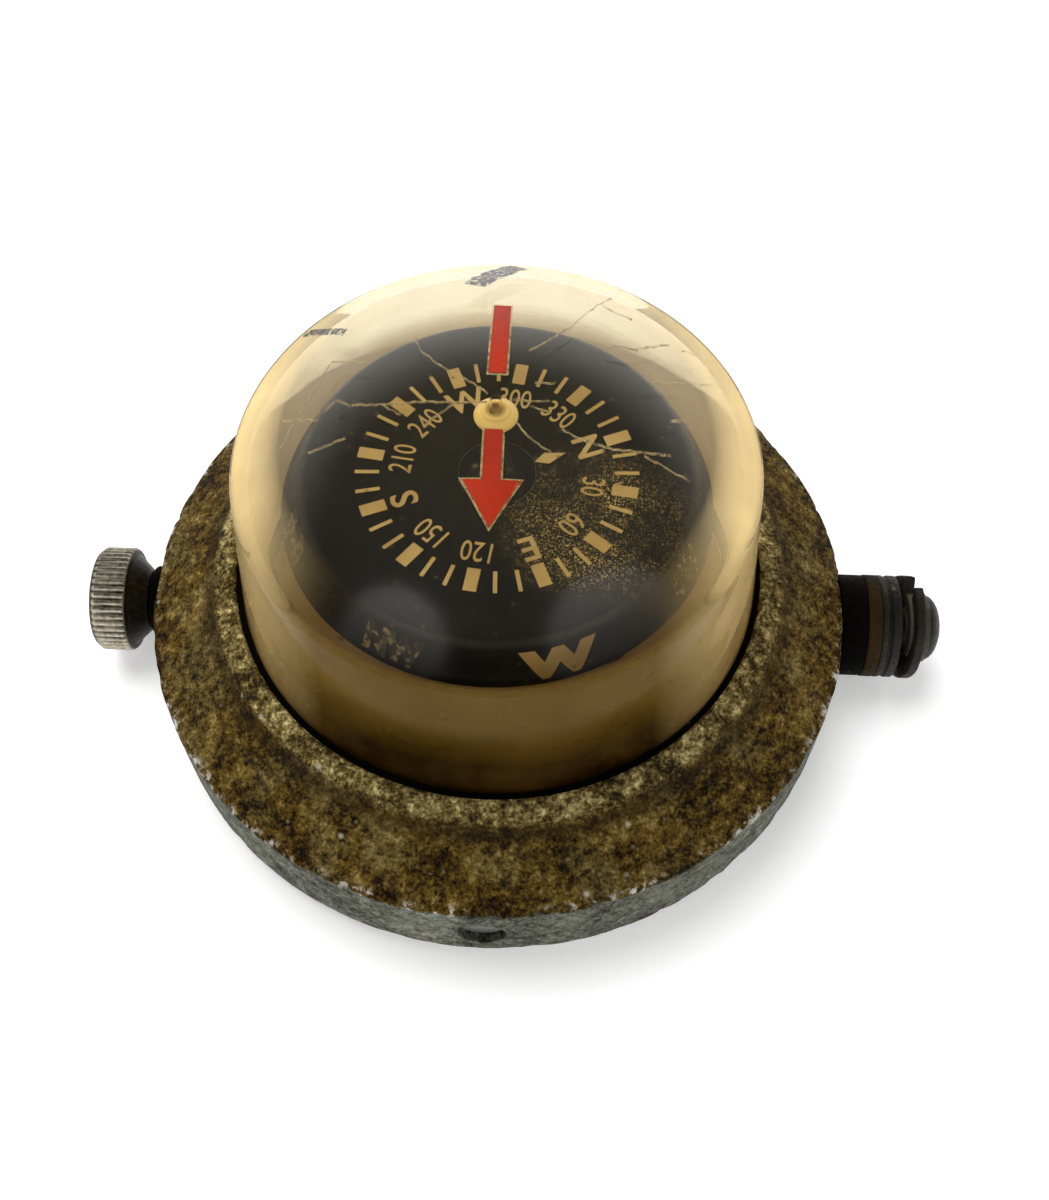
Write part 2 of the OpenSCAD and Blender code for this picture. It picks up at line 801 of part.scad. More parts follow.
module pivot_screw()
  color("maroon")
    out_right(x_head)
      difference() {
        union() {
          rod(r_thread, x_spot - thread_l - x_head, 0.5);
          rotate_extrude()
            polygon(concat([[0, 0], [screw_head_d / 2, 0]],
              [for (i = [0:8]) [screw_head_d / 2 * cos(90 * i / 8), screw_band + screw_crown * sin(90 * i / 8)]]));
        }
        translate([-0.6, -screw_head_d, screw_band + screw_crown - 1.8])
          cube([1.2, 2 * screw_head_d, 3]);
      }

base_ring();
dome();
arrow_inlay();
crown_boss();
dome_gasket();
bowl();
bowl_seal();
clamp_ring();
clamp_screws();
diaphragm();
diaphragm_ring();
filler_plug();
filler_seal();
pivot_post();
pivot_pin();
jewel();
jewel_cup();
card();
float_hub();
magnet_cradle();
card_retainer();
magnet_left();
magnet_right();
compensator_shaft_ns();
compensator_magnet_ns();
compensator_shaft_ew();
compensator_magnet_ew();
compensator_strap();
strap_screws();
back_cover();
cover_screws();
thumbscrew();
thumb_washer();
pivot_bush();
fibre_washer();
steel_washer();
spring_washer();
pivot_screw();
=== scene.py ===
import bpy, bmesh, json, math, random
from mathutils import Matrix, Vector, noise

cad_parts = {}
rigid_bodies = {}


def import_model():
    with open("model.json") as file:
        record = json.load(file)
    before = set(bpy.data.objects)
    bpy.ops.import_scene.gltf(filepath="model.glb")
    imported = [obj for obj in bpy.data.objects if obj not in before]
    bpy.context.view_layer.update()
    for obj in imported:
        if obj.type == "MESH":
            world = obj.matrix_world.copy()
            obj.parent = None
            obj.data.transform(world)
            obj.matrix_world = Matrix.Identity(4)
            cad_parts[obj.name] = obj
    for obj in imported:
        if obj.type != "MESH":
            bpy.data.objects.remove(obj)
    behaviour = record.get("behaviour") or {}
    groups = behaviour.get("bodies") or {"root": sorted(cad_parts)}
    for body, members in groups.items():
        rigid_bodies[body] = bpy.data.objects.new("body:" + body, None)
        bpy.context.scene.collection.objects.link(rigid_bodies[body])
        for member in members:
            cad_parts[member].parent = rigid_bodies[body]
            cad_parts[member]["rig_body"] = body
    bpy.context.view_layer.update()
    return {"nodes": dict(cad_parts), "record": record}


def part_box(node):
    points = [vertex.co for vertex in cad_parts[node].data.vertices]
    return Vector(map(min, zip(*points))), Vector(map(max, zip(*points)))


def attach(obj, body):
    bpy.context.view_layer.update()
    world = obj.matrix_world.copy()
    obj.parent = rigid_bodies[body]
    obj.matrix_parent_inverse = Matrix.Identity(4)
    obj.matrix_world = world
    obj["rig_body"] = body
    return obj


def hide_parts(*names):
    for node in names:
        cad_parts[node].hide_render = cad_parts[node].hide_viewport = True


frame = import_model()
cadNodes = frame["nodes"]
mm = 0.001
print("frame loaded, nodes:", len(cadNodes))

# places that come from the frame
ringLow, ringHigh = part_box("base_ring")
domeLow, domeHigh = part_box("dome")
cardLow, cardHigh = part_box("card")
hubLow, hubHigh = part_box("float_hub")
knobLow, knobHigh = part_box("thumbscrew")
screwLow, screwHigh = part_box("pivot_screw")
pivotHeight = (knobLow.z + knobHigh.z) / 2

# ---- camera ----
view = {"turn": 3.75, "elevation": 57.81, "distance": 0.2490, "pan": 0.951, "tilt": 0.473,
        "roll": 1.124, "aimHeight": 0.0181, "lens": 45.0}


def addCamera():
    data = bpy.data.cameras.new("camera")
    data.lens = view["lens"]
    data.sensor_width = 36
    data.clip_start = 0.01
    camera = bpy.data.objects.new("camera", data)
    bpy.context.scene.collection.objects.link(camera)
    turn, lift = math.radians(view["turn"]), math.radians(view["elevation"])
    place = Vector((0, -math.cos(lift), math.sin(lift))) * view["distance"]
    aim = Matrix.Rotation(math.radians(90) - lift, 3, "X")
    aim = aim @ Matrix.Rotation(-math.radians(view["pan"]), 3, "Y")
    aim = aim @ Matrix.Rotation(-math.radians(view["tilt"]), 3, "X")
    aim = aim @ Matrix.Rotation(-math.radians(view["roll"]), 3, "Z")
    spin = Matrix.Rotation(turn, 3, "Z")
    camera.matrix_world = (spin @ aim).to_4x4()
    camera.location = spin @ place + Vector((0, 0, view["aimHeight"]))
    bpy.context.scene.camera = camera


addCamera()
print("camera placed")

# ---- studio ----
studio = {"ceiling": 0.06, "horizon": 1.5, "floorSize": 9.0,
          # name, place, width, watts, seen in reflections
          "lamps": [("keyLamp", (-0.25, 0.30, 0.85), 0.9, 9.5, False),
                    ("leftPanel", (-0.42, -0.47, 0.62), 0.50, 0.65, True),
                    ("rightPanel", (0.53, -0.42, 0.60), 0.70, 1.0, True)]}


def addStudio():
    world = bpy.data.worlds.new("studioWorld")
    world.use_nodes = True
    tree = world.node_tree
    way = put(tree, "SeparateXYZ", {"Vector": put(tree, "TexCoord").outputs["Generated"]})
    # pale walls round the table, a dark ceiling
    bright = ramp(tree, way.outputs["Z"], 0.30, 0.62, studio["horizon"], studio["ceiling"])
    tree.links.new(bright, tree.nodes["Background"].inputs["Strength"])
    tree.nodes["Background"].inputs["Color"].default_value = (1, 1, 1, 1)
    bpy.context.scene.world = world
    bpy.context.scene.view_settings.view_transform = "Standard"
    for name, place, width, power, mirrored in studio["lamps"]:
        data = bpy.data.lights.new(name, "AREA")
        data.shape, data.size, data.energy = "DISK", width, power
        lamp = addObject(name, data)
        lamp.location = place
        lamp.visible_glossy = lamp.visible_transmission = mirrored
        lamp.rotation_euler = (Vector((0, 0, 0.03)) - Vector(place)).to_track_quat("-Z", "Y").to_euler()
    bm = bmesh.new()
    bmesh.ops.create_grid(bm, x_segments=2, y_segments=2, size=studio["floorSize"] / 2)
    floor = keepMesh(bm, "floor")
    floor.data.materials.append(floorPaper())


# ---- helpers for shapes ----
def addObject(name, data):
    made = bpy.data.objects.new(name, data)
    bpy.context.scene.collection.objects.link(made)
    return made

def finalMesh(piece):
    # the mesh with modifiers or curve settings worked out
    graph = bpy.context.evaluated_depsgraph_get()
    return bpy.data.meshes.new_from_object(piece.evaluated_get(graph))

def keepMesh(bm, name, smooth=None):
    mesh = bpy.data.meshes.new(name)
    bm.to_mesh(mesh)
    bm.free()
    piece = addObject(name, mesh)
    if smooth is not None:
        smoothEdges(piece, smooth)
    return piece


def softened(points, radius, cuts=3, closed=True):
    # rounds each corner of an outline of (radius, height) points
    out = []
    count = len(points)
    for i, (x, z) in enumerate(points):
        if not closed and i in (0, count - 1):
            out.append((x, z))
            continue
        corner = Vector((x, z))
        before = Vector(points[i - 1]) - corner
        after = Vector(points[(i + 1) % count]) - corner
        back = corner + before.normalized() * min(radius, before.length * 0.45)
        ahead = corner + after.normalized() * min(radius, after.length * 0.45)
        for k in range(cuts + 1):
            t = k / cuts
            spot = back * (1 - t) ** 2 + corner * 2 * t * (1 - t) + ahead * t * t
            out.append((spot.x, spot.y))
    return out


def dense(points, gap, closed=True):
    # adds points along the straight stretches of an outline
    out = []
    ends = points[1:] + points[:1] if closed else points[1:]
    for (x0, z0), (x1, z1) in zip(points, ends):
        steps = max(1, math.ceil(math.hypot(x1 - x0, z1 - z0) / gap))
        out += [(x0 + (x1 - x0) * k / steps, z0 + (z1 - z0) * k / steps) for k in range(steps)]
    return out if closed else out + [points[-1]]


def spun(outline, steps, closed=True):
    bm = bmesh.new()
    ring = [bm.verts.new((x, 0, z)) for x, z in outline]
    pairs = zip(ring, ring[1:] + ring[:1]) if closed else zip(ring, ring[1:])
    edges = [bm.edges.new(pair) for pair in pairs]
    bmesh.ops.spin(bm, geom=ring + edges, cent=(0, 0, 0), axis=(0, 0, 1), dvec=(0, 0, 0),
                   angle=math.tau, steps=steps, use_merge=True, use_duplicate=False)
    bmesh.ops.remove_doubles(bm, verts=bm.verts, dist=1e-6)
    bmesh.ops.recalc_face_normals(bm, faces=bm.faces)
    return bm


def alongX(bm, x, side=1):
    # turns a shape built up +Z so that it points out along +X or -X at the pivots
    bmesh.ops.rotate(bm, verts=bm.verts, cent=(0, 0, 0), matrix=Matrix.Rotation(side * math.pi / 2, 3, "Y"))
    bmesh.ops.translate(bm, verts=bm.verts, vec=(x, 0, pivotHeight))
    return bm


def subtract(piece, bm):
    tool = keepMesh(bm, "cutter")
    cut = piece.modifiers.new("cut", "BOOLEAN")
    cut.operation, cut.solver, cut.object = "DIFFERENCE", "EXACT", tool
    mesh = finalMesh(piece)
    piece.modifiers.clear()
    old = piece.data
    piece.data = mesh
    bpy.data.meshes.remove(old)
    bpy.data.objects.remove(tool)


def smoothEdges(piece, angle=30):
    mesh = piece.data
    mesh.polygons.foreach_set("use_smooth", [True] * len(mesh.polygons))
    mesh.set_sharp_from_angle(angle=math.radians(angle))


def settle(piece, material, body, slot, *replaced):
    piece.data.materials.clear()
    piece.data.materials.append(material)
    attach(piece, body)
    if replaced:
        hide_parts(*replaced)
    print("piece", piece.name, len(piece.data.polygons), "faces")
    return piece


# ---- helpers for materials ----
def newMaterial(name):
    mat = bpy.data.materials.new(name)
    mat.use_nodes = True
    return mat, mat.node_tree, mat.node_tree.nodes["Principled BSDF"]


def feed(shader, name, value):
    # links a socket, or sets a constant, on one of the shader's inputs
    if isinstance(value, bpy.types.NodeSocket):
        shader.id_data.links.new(value, shader.inputs[name])
    else:
        shader.inputs[name].default_value = value

def put(tree, kind, inputs=None, **settings):
    made = tree.nodes.new("ShaderNode" + kind)
    for key, value in settings.items():
        setattr(made, key, value)
    for key, value in (inputs or {}).items():
        if isinstance(value, bpy.types.NodeSocket):
            tree.links.new(value, made.inputs[key])
        else:
            made.inputs[key].default_value = value
    return made


def maths(tree, how, a, b=0.0, clamp=False):
    return put(tree, "Math", {0: a, 1: b}, operation=how, use_clamp=clamp).outputs[0]

def times(tree, a, b, clamp=False):
    return maths(tree, "MULTIPLY", a, b, clamp)

def objectPlace(tree):
    # the place on the object, whole and as its three parts
    where = put(tree, "TexCoord").outputs["Object"]
    return where, put(tree, "SeparateXYZ", {"Vector": where})

def axisDistance(tree, parts):
    # how far a place lies from the upright axis
    flat = put(tree, "CombineXYZ", {"X": parts.outputs["X"], "Y": parts.outputs["Y"]})
    return put(tree, "VectorMath", {0: flat.outputs[0]}, operation="LENGTH").outputs["Value"]


def blendColours(tree, factor, a, b):
    made = put(tree, "Mix", data_type="RGBA")
    for key, value in (("Factor", factor), ("A", a), ("B", b)):
        socket = [s for s in made.inputs if s.name == key and (s.type == "RGBA" or key == "Factor")][0]
        if isinstance(value, bpy.types.NodeSocket):
            tree.links.new(value, socket)
        elif key == "Factor":
            socket.default_value = value
        else:
            socket.default_value = (*value, 1)
    return [s for s in made.outputs if s.type == "RGBA"][0]


def ramp(tree, value, low, high, a=0.0, b=1.0):
    return put(tree, "MapRange", {"Value": value, "From Min": low, "From Max": high, "To Min": a,
                                  "To Max": b}).outputs["Result"]


def colourRamp(tree, value, stops):
    made = put(tree, "ValToRGB", {"Fac": value})
    marks = made.color_ramp.elements
    while len(marks) < len(stops):
        marks.new(0.5)
    for mark, (place, colour) in zip(marks, stops):
        mark.position, mark.color = place, (*colour, 1)
    return made.outputs["Color"]


def newGroup(name, inputs, outputs):
    group = bpy.data.node_groups.new(name, "ShaderNodeTree")
    for key, value in inputs.items():
        group.interface.new_socket(key, in_out="INPUT", socket_type="NodeSocketFloat").default_value = value
    for key in outputs:
        group.interface.new_socket(key, in_out="OUTPUT", socket_type="NodeSocketFloat")
    return group, group.nodes.new("NodeGroupInput"), group.nodes.new("NodeGroupOutput")


def makeGrain():
    # cast or worn grain: fine and coarse unevenness, and small pits
    group, start, end = newGroup("grain", {"Scale": 1000.0, "Pits": 0.3}, ["Fine", "Coarse", "Pits"])
    where = put(group, "TexCoord").outputs["Object"]
    fine = put(group, "TexNoise", {"Vector": where, "Scale": start.outputs["Scale"], "Detail": 5.0,
                                   "Roughness": 0.65})
    tenth = times(group, start.outputs["Scale"], 0.08)
    coarse = put(group, "TexNoise", {"Vector": where, "Scale": tenth, "Detail": 3.0, "Roughness": 0.55})
    half = times(group, start.outputs["Scale"], 0.45)
    cells = put(group, "TexVoronoi", {"Vector": where, "Scale": half, "Randomness": 1.0})
    pit = ramp(group, cells.outputs["Distance"], 0.0, start.outputs["Pits"], 1.0, 0.0)
    group.links.new(fine.outputs["Fac"], end.inputs["Fine"])
    group.links.new(coarse.outputs["Fac"], end.inputs["Coarse"])
    group.links.new(pit, end.inputs["Pits"])
    return group


def makeSpecks():
    # scattered flecks, the share of cells that hold one is Amount
    group, start, end = newGroup("specks", {"Scale": 800.0, "Amount": 0.1, "Size": 0.4}, ["Mask"])
    where = put(group, "TexCoord").outputs["Object"]
    cells = put(group, "TexVoronoi", {"Vector": where, "Scale": start.outputs["Scale"], "Randomness": 1.0})
    parts = put(group, "SeparateColor", {"Color": cells.outputs["Color"]})
    chosen = maths(group, "LESS_THAN", parts.outputs["Red"], start.outputs["Amount"])
    spot = ramp(group, cells.outputs["Distance"], start.outputs["Size"], 0.0)
    group.links.new(times(group, chosen, spot, True), end.inputs["Mask"])
    return group


grain = makeGrain()
specks = makeSpecks()


def useGroup(tree, group, **values):
    made = tree.nodes.new("ShaderNodeGroup")
    made.node_tree = group
    for key, value in values.items():
        if isinstance(value, bpy.types.NodeSocket):
            tree.links.new(value, made.inputs[key])
        else:
            made.inputs[key].default_value = value
    return made


def bumpTo(tree, shader, height, depth):
    made = put(tree, "Bump", {"Height": height, "Distance": depth, "Strength": 1.0})
    feed(shader, "Normal", made.outputs["Normal"])


def plainFinish(name, look):
    # a worked surface: two tones, flecks, uneven gloss and a fine bump
    mat, tree, shader = newMaterial(name)
    texture = useGroup(tree, grain, Scale=look["grain"], Pits=look.get("pits", 0.25))
    flecks = useGroup(tree, specks, Scale=look["grain"] * 0.6, Amount=look.get("flecks", 0.06))
    tone = ramp(tree, texture.outputs["Coarse"], 0.35, 0.65)
    fine = ramp(tree, texture.outputs["Fine"], 0.3, 0.7)
    colour = blendColours(tree, tone, look["base"], look["shade"])
    colour = blendColours(tree, times(tree, fine, 0.45), colour, look["shade"])
    colour = blendColours(tree, flecks.outputs["Mask"], colour, look["fleck"])
    feed(shader, "Base Color", colour)
    rough = ramp(tree, texture.outputs["Fine"], 0.25, 0.75, look["rough"][0], look["rough"][1])
    feed(shader, "Roughness", rough)
    feed(shader, "Metallic", look["metal"])
    height = maths(tree, "SUBTRACT", texture.outputs["Fine"],
                   times(tree, texture.outputs["Pits"], 0.6))
    bumpTo(tree, shader, height, look["bump"])
    feed(shader, "Specular IOR Level", look.get("shine", 0.5))
    return mat


# one row of values for each plain finish, colours are linear
looks = {
    "black_rubber": {"base": (0.0008, 0.0007, 0.0005), "shade": (0.002, 0.0016, 0.001),
                     "fleck": (0.06, 0.05, 0.03),
                     "metal": 0.0, "rough": (0.55, 0.85), "grain": 1500.0, "bump": 0.00012, "shine": 0.03,
                     "flecks": 0.02},
    "fibre": {"base": (0.034, 0.018, 0.004), "shade": (0.003, 0.002, 0.0006), "fleck": (0.11, 0.07, 0.03),
              "metal": 0.0, "rough": (0.6, 0.9), "grain": 800.0, "bump": 0.00025, "shine": 0.08},
    "bowl_paint": {"base": (0.80, 0.70, 0.47), "shade": (0.64, 0.50, 0.28), "fleck": (0.22, 0.14, 0.06),
                   "metal": 0.0, "rough": (0.35, 0.6), "grain": 700.0, "bump": 0.00006},
    "plated_steel": {"base": (0.46, 0.45, 0.42), "shade": (0.24, 0.22, 0.18), "fleck": (0.20, 0.10, 0.04),
                     "metal": 0.9, "rough": (0.25, 0.55), "grain": 1400.0, "bump": 0.00004},
    "brass": {"base": (0.50, 0.36, 0.13), "shade": (0.28, 0.18, 0.06), "fleck": (0.10, 0.10, 0.06),
              "metal": 0.9, "rough": (0.28, 0.55), "grain": 1200.0, "bump": 0.00004},
    "cream_plastic": {"base": (0.56, 0.42, 0.17), "shade": (0.42, 0.29, 0.10), "fleck": (0.25, 0.15, 0.05),
                      "metal": 0.0, "rough": (0.2, 0.45), "grain": 900.0, "bump": 0.00003, "flecks": 0.03},
    "hard_steel": {"base": (0.55, 0.56, 0.58), "shade": (0.4, 0.4, 0.42), "fleck": (0.2, 0.16, 0.1),
                   "metal": 1.0, "rough": (0.12, 0.3), "grain": 2500.0, "bump": 0.00001},
    "float_plastic": {"base": (0.004, 0.004, 0.0035), "shade": (0.012, 0.011, 0.008),
                      "fleck": (0.12, 0.10, 0.05),
                      "metal": 0.0, "rough": (0.35, 0.6), "grain": 1000.0, "bump": 0.00004},
    "magnet_steel": {"base": (0.16, 0.16, 0.16), "shade": (0.08, 0.07, 0.065), "fleck": (0.22, 0.10, 0.04),
                     "metal": 0.8, "rough": (0.4, 0.7), "grain": 1100.0, "bump": 0.00007},
    "cover_metal": {"base": (0.27, 0.26, 0.23), "shade": (0.15, 0.14, 0.11), "fleck": (0.42, 0.41, 0.38),
                    "metal": 0.6, "rough": (0.45, 0.75), "grain": 900.0, "bump": 0.00010},
    "dark_steel": {"base": (0.016, 0.013, 0.007), "shade": (0.002, 0.0016, 0.0008),
                   "fleck": (0.10, 0.09, 0.06),
                   "metal": 0.0, "rough": (0.45, 0.8), "grain": 1100.0, "bump": 0.00030, "flecks": 0.08,
                   "shine": 0.25},
    "screw_end": {"base": (0.016, 0.007, 0.004), "shade": (0.006, 0.003, 0.0015), "fleck": (0.05, 0.03, 0.02),
                  "metal": 0.0, "rough": (0.35, 0.6), "grain": 1100.0, "bump": 0.00020, "shine": 0.25},
    "screw_band": {"base": (0.075, 0.066, 0.045), "shade": (0.020, 0.015, 0.008), "fleck": (0.12, 0.10, 0.07),
                   "metal": 0.1, "rough": (0.5, 0.8), "grain": 1000.0, "bump": 0.00025, "shine": 0.25},
    # sunk_head: a dark grey, painted shade for heads sitting in their bores
    "sunk_head": {"base": (0.20, 0.20, 0.18), "shade": (0.08, 0.08, 0.07), "fleck": (0.03, 0.025, 0.02),
                  "metal": 0.3, "rough": (0.5, 0.8), "grain": 1200.0, "bump": 0.00012},
    "red_paint": {"base": (0.40, 0.024, 0.0015), "shade": (0.27, 0.014, 0.001), "fleck": (0.50, 0.14, 0.05),
                  "metal": 0.0, "rough": (0.3, 0.5), "grain": 900.0, "bump": 0.00005, "flecks": 0.05,
                  "shine": 0.2},
    "card_print": {"base": (0.50, 0.37, 0.17), "shade": (0.38, 0.26, 0.10), "fleck": (0.14, 0.09, 0.03),
                   "metal": 0.0, "rough": (0.5, 0.75), "grain": 1500.0, "bump": 0.00003, "flecks": 0.08},
}


def floorPaper():
    mat, tree, shader = newMaterial("floorPaper")
    texture = useGroup(tree, grain, Scale=60.0)
    colour = blendColours(tree, texture.outputs["Coarse"], (0.86, 0.86, 0.86), (0.90, 0.90, 0.90))
    feed(shader, "Base Color", colour)
    feed(shader, "Roughness", 0.9)
    # the floor glows as painted light so shadows stay faint, weaker near the object and plain white further
    # off
    away = put(tree, "VectorMath", {0: put(tree, "TexCoord").outputs["Object"]}, operation="LENGTH")
    paintedFloorGlow = blendColours(tree, ramp(tree, away.outputs["Value"], 0.25, 0.9), (0.3, 0.3, 0.3), (1, 1, 1))
    feed(shader, "Emission Color", paintedFloorGlow)
    feed(shader, "Emission Strength", 1.0)
    return mat


def castMetal():
    # olive-brown corroded top, greyer side wall, bright chips along the edges
    mat, tree, shader = newMaterial("castMetal")
    where, parts = objectPlace(tree)
    radius, height = axisDistance(tree, parts), parts.outputs["Z"]
    texture = useGroup(tree, grain, Scale=2000.0, Pits=0.30)
    broad = useGroup(tree, grain, Scale=640.0, Pits=0.22)
    patches = useGroup(tree, grain, Scale=1900.0, Pits=0.3)
    blotch = put(tree, "TexNoise", {"Vector": where, "Scale": 95.0, "Detail": 4.0, "Roughness": 0.6})
    pale = useGroup(tree, specks, Scale=1050.0, Amount=0.10, Size=0.45)
    white = useGroup(tree, specks, Scale=520.0, Amount=0.022, Size=0.32)
    fine = times(tree, texture.outputs["Fine"], 0.34)
    middle = times(tree, broad.outputs["Fine"], 0.42)
    coarse = times(tree, patches.outputs["Coarse"], 0.24)
    tone = maths(tree, "ADD", maths(tree, "ADD", fine, middle), coarse)
    top = colourRamp(tree, tone, cast["top"])
    drab = ramp(tree, blotch.outputs["Fac"], 0.48, 0.62, 0.0, 0.55)
    top = blendColours(tree, drab, top, colourRamp(tree, tone, cast["drab"]))
    rusty = ramp(tree, blotch.outputs["Fac"], 0.46, 0.36, 0.0, 0.5)
    top = blendColours(tree, rusty, top, colourRamp(tree, tone, cast["rusty"]))
    top = blendColours(tree, times(tree, broad.outputs["Pits"], 0.8), top, (0.004, 0.002, 0.0006))
    top = blendColours(tree, times(tree, pale.outputs["Mask"], 0.8), top, (0.17, 0.145, 0.075))
    # the collar is greyer, with a painted shade line under its step
    collarEdge = ring["opening"] + ring["collarWidth"]
    collar = ramp(tree, radius, collarEdge + 0.1 * mm, collarEdge - 0.5 * mm)
    grey = colourRamp(tree, tone, cast["collar"])
    top = blendColours(tree, times(tree, collar, 0.8), top, grey)
    # painted shade: a dark band just outside the collar's step
    gap = maths(tree, "ABSOLUTE", maths(tree, "SUBTRACT", radius, collarEdge + 0.9 * mm))
    shade = times(tree, ramp(tree, gap, 1.5 * mm, 0.2 * mm), 0.6)
    top = blendColours(tree, shade, top, (0.012, 0.008, 0.002))
    side = colourRamp(tree, tone, cast["side"])
    side = blendColours(tree, times(tree, texture.outputs["Pits"], 0.45), side, (0.012, 0.012, 0.010))
    onSide = ramp(tree, height, ringLow.z + 14.4 * mm, ringLow.z + 13.9 * mm)
    colour = blendColours(tree, onSide, top, side)
    # bright chips where the side meets the top
    away = maths(tree, "ABSOLUTE", maths(tree, "SUBTRACT", height, ringLow.z + 14.5 * mm))
    edge = ramp(tree, away, 0.9 * mm, 0.1 * mm)
    rim = ramp(tree, radius, ringHigh.y - 1.9 * mm, ringHigh.y - 0.7 * mm)
    bare = times(tree, ramp(tree, broad.outputs["Fine"], 0.52, 0.60),
                 ramp(tree, patches.outputs["Coarse"], 0.42, 0.58), True)
    chip = times(tree, times(tree, edge, rim), bare, True)
    colour = blendColours(tree, chip, colour, (0.62, 0.61, 0.57))
    colour = blendColours(tree, white.outputs["Mask"], colour, (0.42, 0.40, 0.33))
    feed(shader, "Base Color", colour)
    metal = maths(tree, "ADD", times(tree, chip, 0.5), times(tree, onSide, 0.3), True)
    feed(shader, "Metallic", metal)
    feed(shader, "Roughness", ramp(tree, texture.outputs["Fine"], 0.3, 0.7, 0.95, 0.6))
    bump = maths(tree, "ADD", texture.outputs["Fine"], times(tree, broad.outputs["Fine"], 1.6))
    bump = maths(tree, "SUBTRACT", bump, times(tree, broad.outputs["Pits"], 0.4))
    bumpTo(tree, shader, bump, 0.00026)
    feed(shader, "Specular IOR Level", 0.08)
    return mat


# tones of the casting from hollows to high spots, colours are linear
cast = {"top": [(0.41, (0.0031, 0.0013, 0.0001)), (0.46, (0.0229, 0.0114, 0.001)),
                (0.505, (0.0645, 0.037, 0.0039)),
                (0.555, (0.1196, 0.0739, 0.0132)), (0.63, (0.2704, 0.1936, 0.0605))],
        "drab": [(0.41, (0.0125, 0.0088, 0.0022)), (0.46, (0.0468, 0.0334, 0.0088)),
                 (0.505, (0.0988, 0.073, 0.0231)),
                 (0.555, (0.1456, 0.11, 0.0385)), (0.63, (0.312, 0.2464, 0.1045))],
        "rusty": [(0.42, (0.0042, 0.0013, 0.0001)), (0.47, (0.0208, 0.0088, 0.0006)),
                  (0.52, (0.0541, 0.0246, 0.0017)),
                  (0.57, (0.0884, 0.044, 0.0044)), (0.64, (0.208, 0.1232, 0.0275))],
        "collar": [(0.42, (0.015, 0.0101, 0.0033)), (0.47, (0.0638, 0.0437, 0.011)),
                   (0.51, (0.15, 0.1109, 0.0374)),
                   (0.55, (0.3, 0.2352, 0.0935)), (0.61, (0.675, 0.5544, 0.264))],
        "side": [(0.40, (0.0158, 0.0155, 0.0094)), (0.46, (0.0616, 0.0636, 0.0461)),
                 (0.51, (0.11, 0.1135, 0.0864)),
                 (0.56, (0.1672, 0.172, 0.1368)), (0.63, (0.2992, 0.301, 0.2304))]}


def clearAcrylic():
    # yellowed clear plastic; lamps reach what is behind it
    mat, tree, shader = newMaterial("clearAcrylic")
    parts = objectPlace(tree)[1]
    texture = useGroup(tree, grain, Scale=420.0)
    wall = ramp(tree, parts.outputs["Z"], domeHigh.z - 8 * mm, domeHigh.z - 13.5 * mm)
    low = ramp(tree, parts.outputs["Z"], domeHigh.z - 22 * mm, domeHigh.z - 29 * mm)
    foot = ramp(tree, parts.outputs["Z"], domeHigh.z - 32 * mm, domeHigh.z - 40 * mm)
    uneven = ramp(tree, texture.outputs["Coarse"], 0.3, 0.7, 0.75, 1.0)
    colour = blendColours(tree, wall, (0.985, 0.96, 0.86), (0.90, 0.82, 0.63))
    colour = blendColours(tree, times(tree, low, uneven), colour, (0.76, 0.63, 0.38))
    colour = blendColours(tree, times(tree, foot, uneven), colour, (0.44, 0.30, 0.13))
    feed(shader, "Base Color", colour)
    feed(shader, "Transmission Weight", 1.0)
    feed(shader, "IOR", 1.04)
    feed(shader, "Roughness", 0.0)
    feed(shader, "Coat Weight", ramp(tree, wall, 0.0, 1.0, 0.75, 0.12))
    feed(shader, "Coat IOR", 1.49)
    feed(shader, "Coat Roughness", 0.14)
    clear = put(tree, "BsdfTransparent", {"Color": (0.93, 0.88, 0.74, 1)})
    path = put(tree, "LightPath")
    mix = put(tree, "MixShader", {0: path.outputs["Is Shadow Ray"], 1: shader.outputs[0],
                                  2: clear.outputs[0]})
    tree.links.new(mix.outputs[0], tree.nodes["Material Output"].inputs["Surface"])
    return mat


def cardBlack():
    # satin black with a grey bloom and golden flecks on one side
    mat, tree, shader = newMaterial("cardBlack")
    where = put(tree, "TexCoord").outputs["Object"]
    texture = useGroup(tree, grain, Scale=900.0)
    dust = put(tree, "TexNoise", {"Vector": where, "Scale": 4200.0, "Detail": 1.0})
    dust = ramp(tree, dust.outputs["Fac"], 0.60, 0.64)
    big = put(tree, "TexNoise", {"Vector": where, "Scale": 2700.0, "Detail": 1.0})
    big = ramp(tree, big.outputs["Fac"], 0.64, 0.67)
    mist = useGroup(tree, specks, Scale=900.0, Amount=0.05, Size=0.4)
    away = put(tree, "VectorMath", {0: where, 1: (0.0150, -0.0085, cardHigh.z)}, operation="DISTANCE")
    patch = ramp(tree, away.outputs["Value"], 15.5 * mm, 3 * mm)
    patch = times(tree, patch, ramp(tree, texture.outputs["Coarse"], 0.35, 0.6), True)
    far = put(tree, "VectorMath", {0: where, 1: (-0.002, 0.012, cardHigh.z)}, operation="DISTANCE")
    bloom = ramp(tree, far.outputs["Value"], 34 * mm, 8 * mm)
    colour = blendColours(tree, bloom, (0.0015, 0.0015, 0.0012), (0.009, 0.008, 0.005))
    colour = blendColours(tree, times(tree, patch, dust), colour, (0.75, 0.54, 0.20))
    colour = blendColours(tree, times(tree, patch, big), colour, (0.70, 0.52, 0.22))
    colour = blendColours(tree, times(tree, mist.outputs["Mask"], 0.5), colour, (0.16, 0.14, 0.09))
    feed(shader, "Base Color", colour)
    feed(shader, "Roughness", ramp(tree, texture.outputs["Fine"], 0.3, 0.7, 0.38, 0.55))
    bumpTo(tree, shader, texture.outputs["Fine"], 0.00003)
    return mat


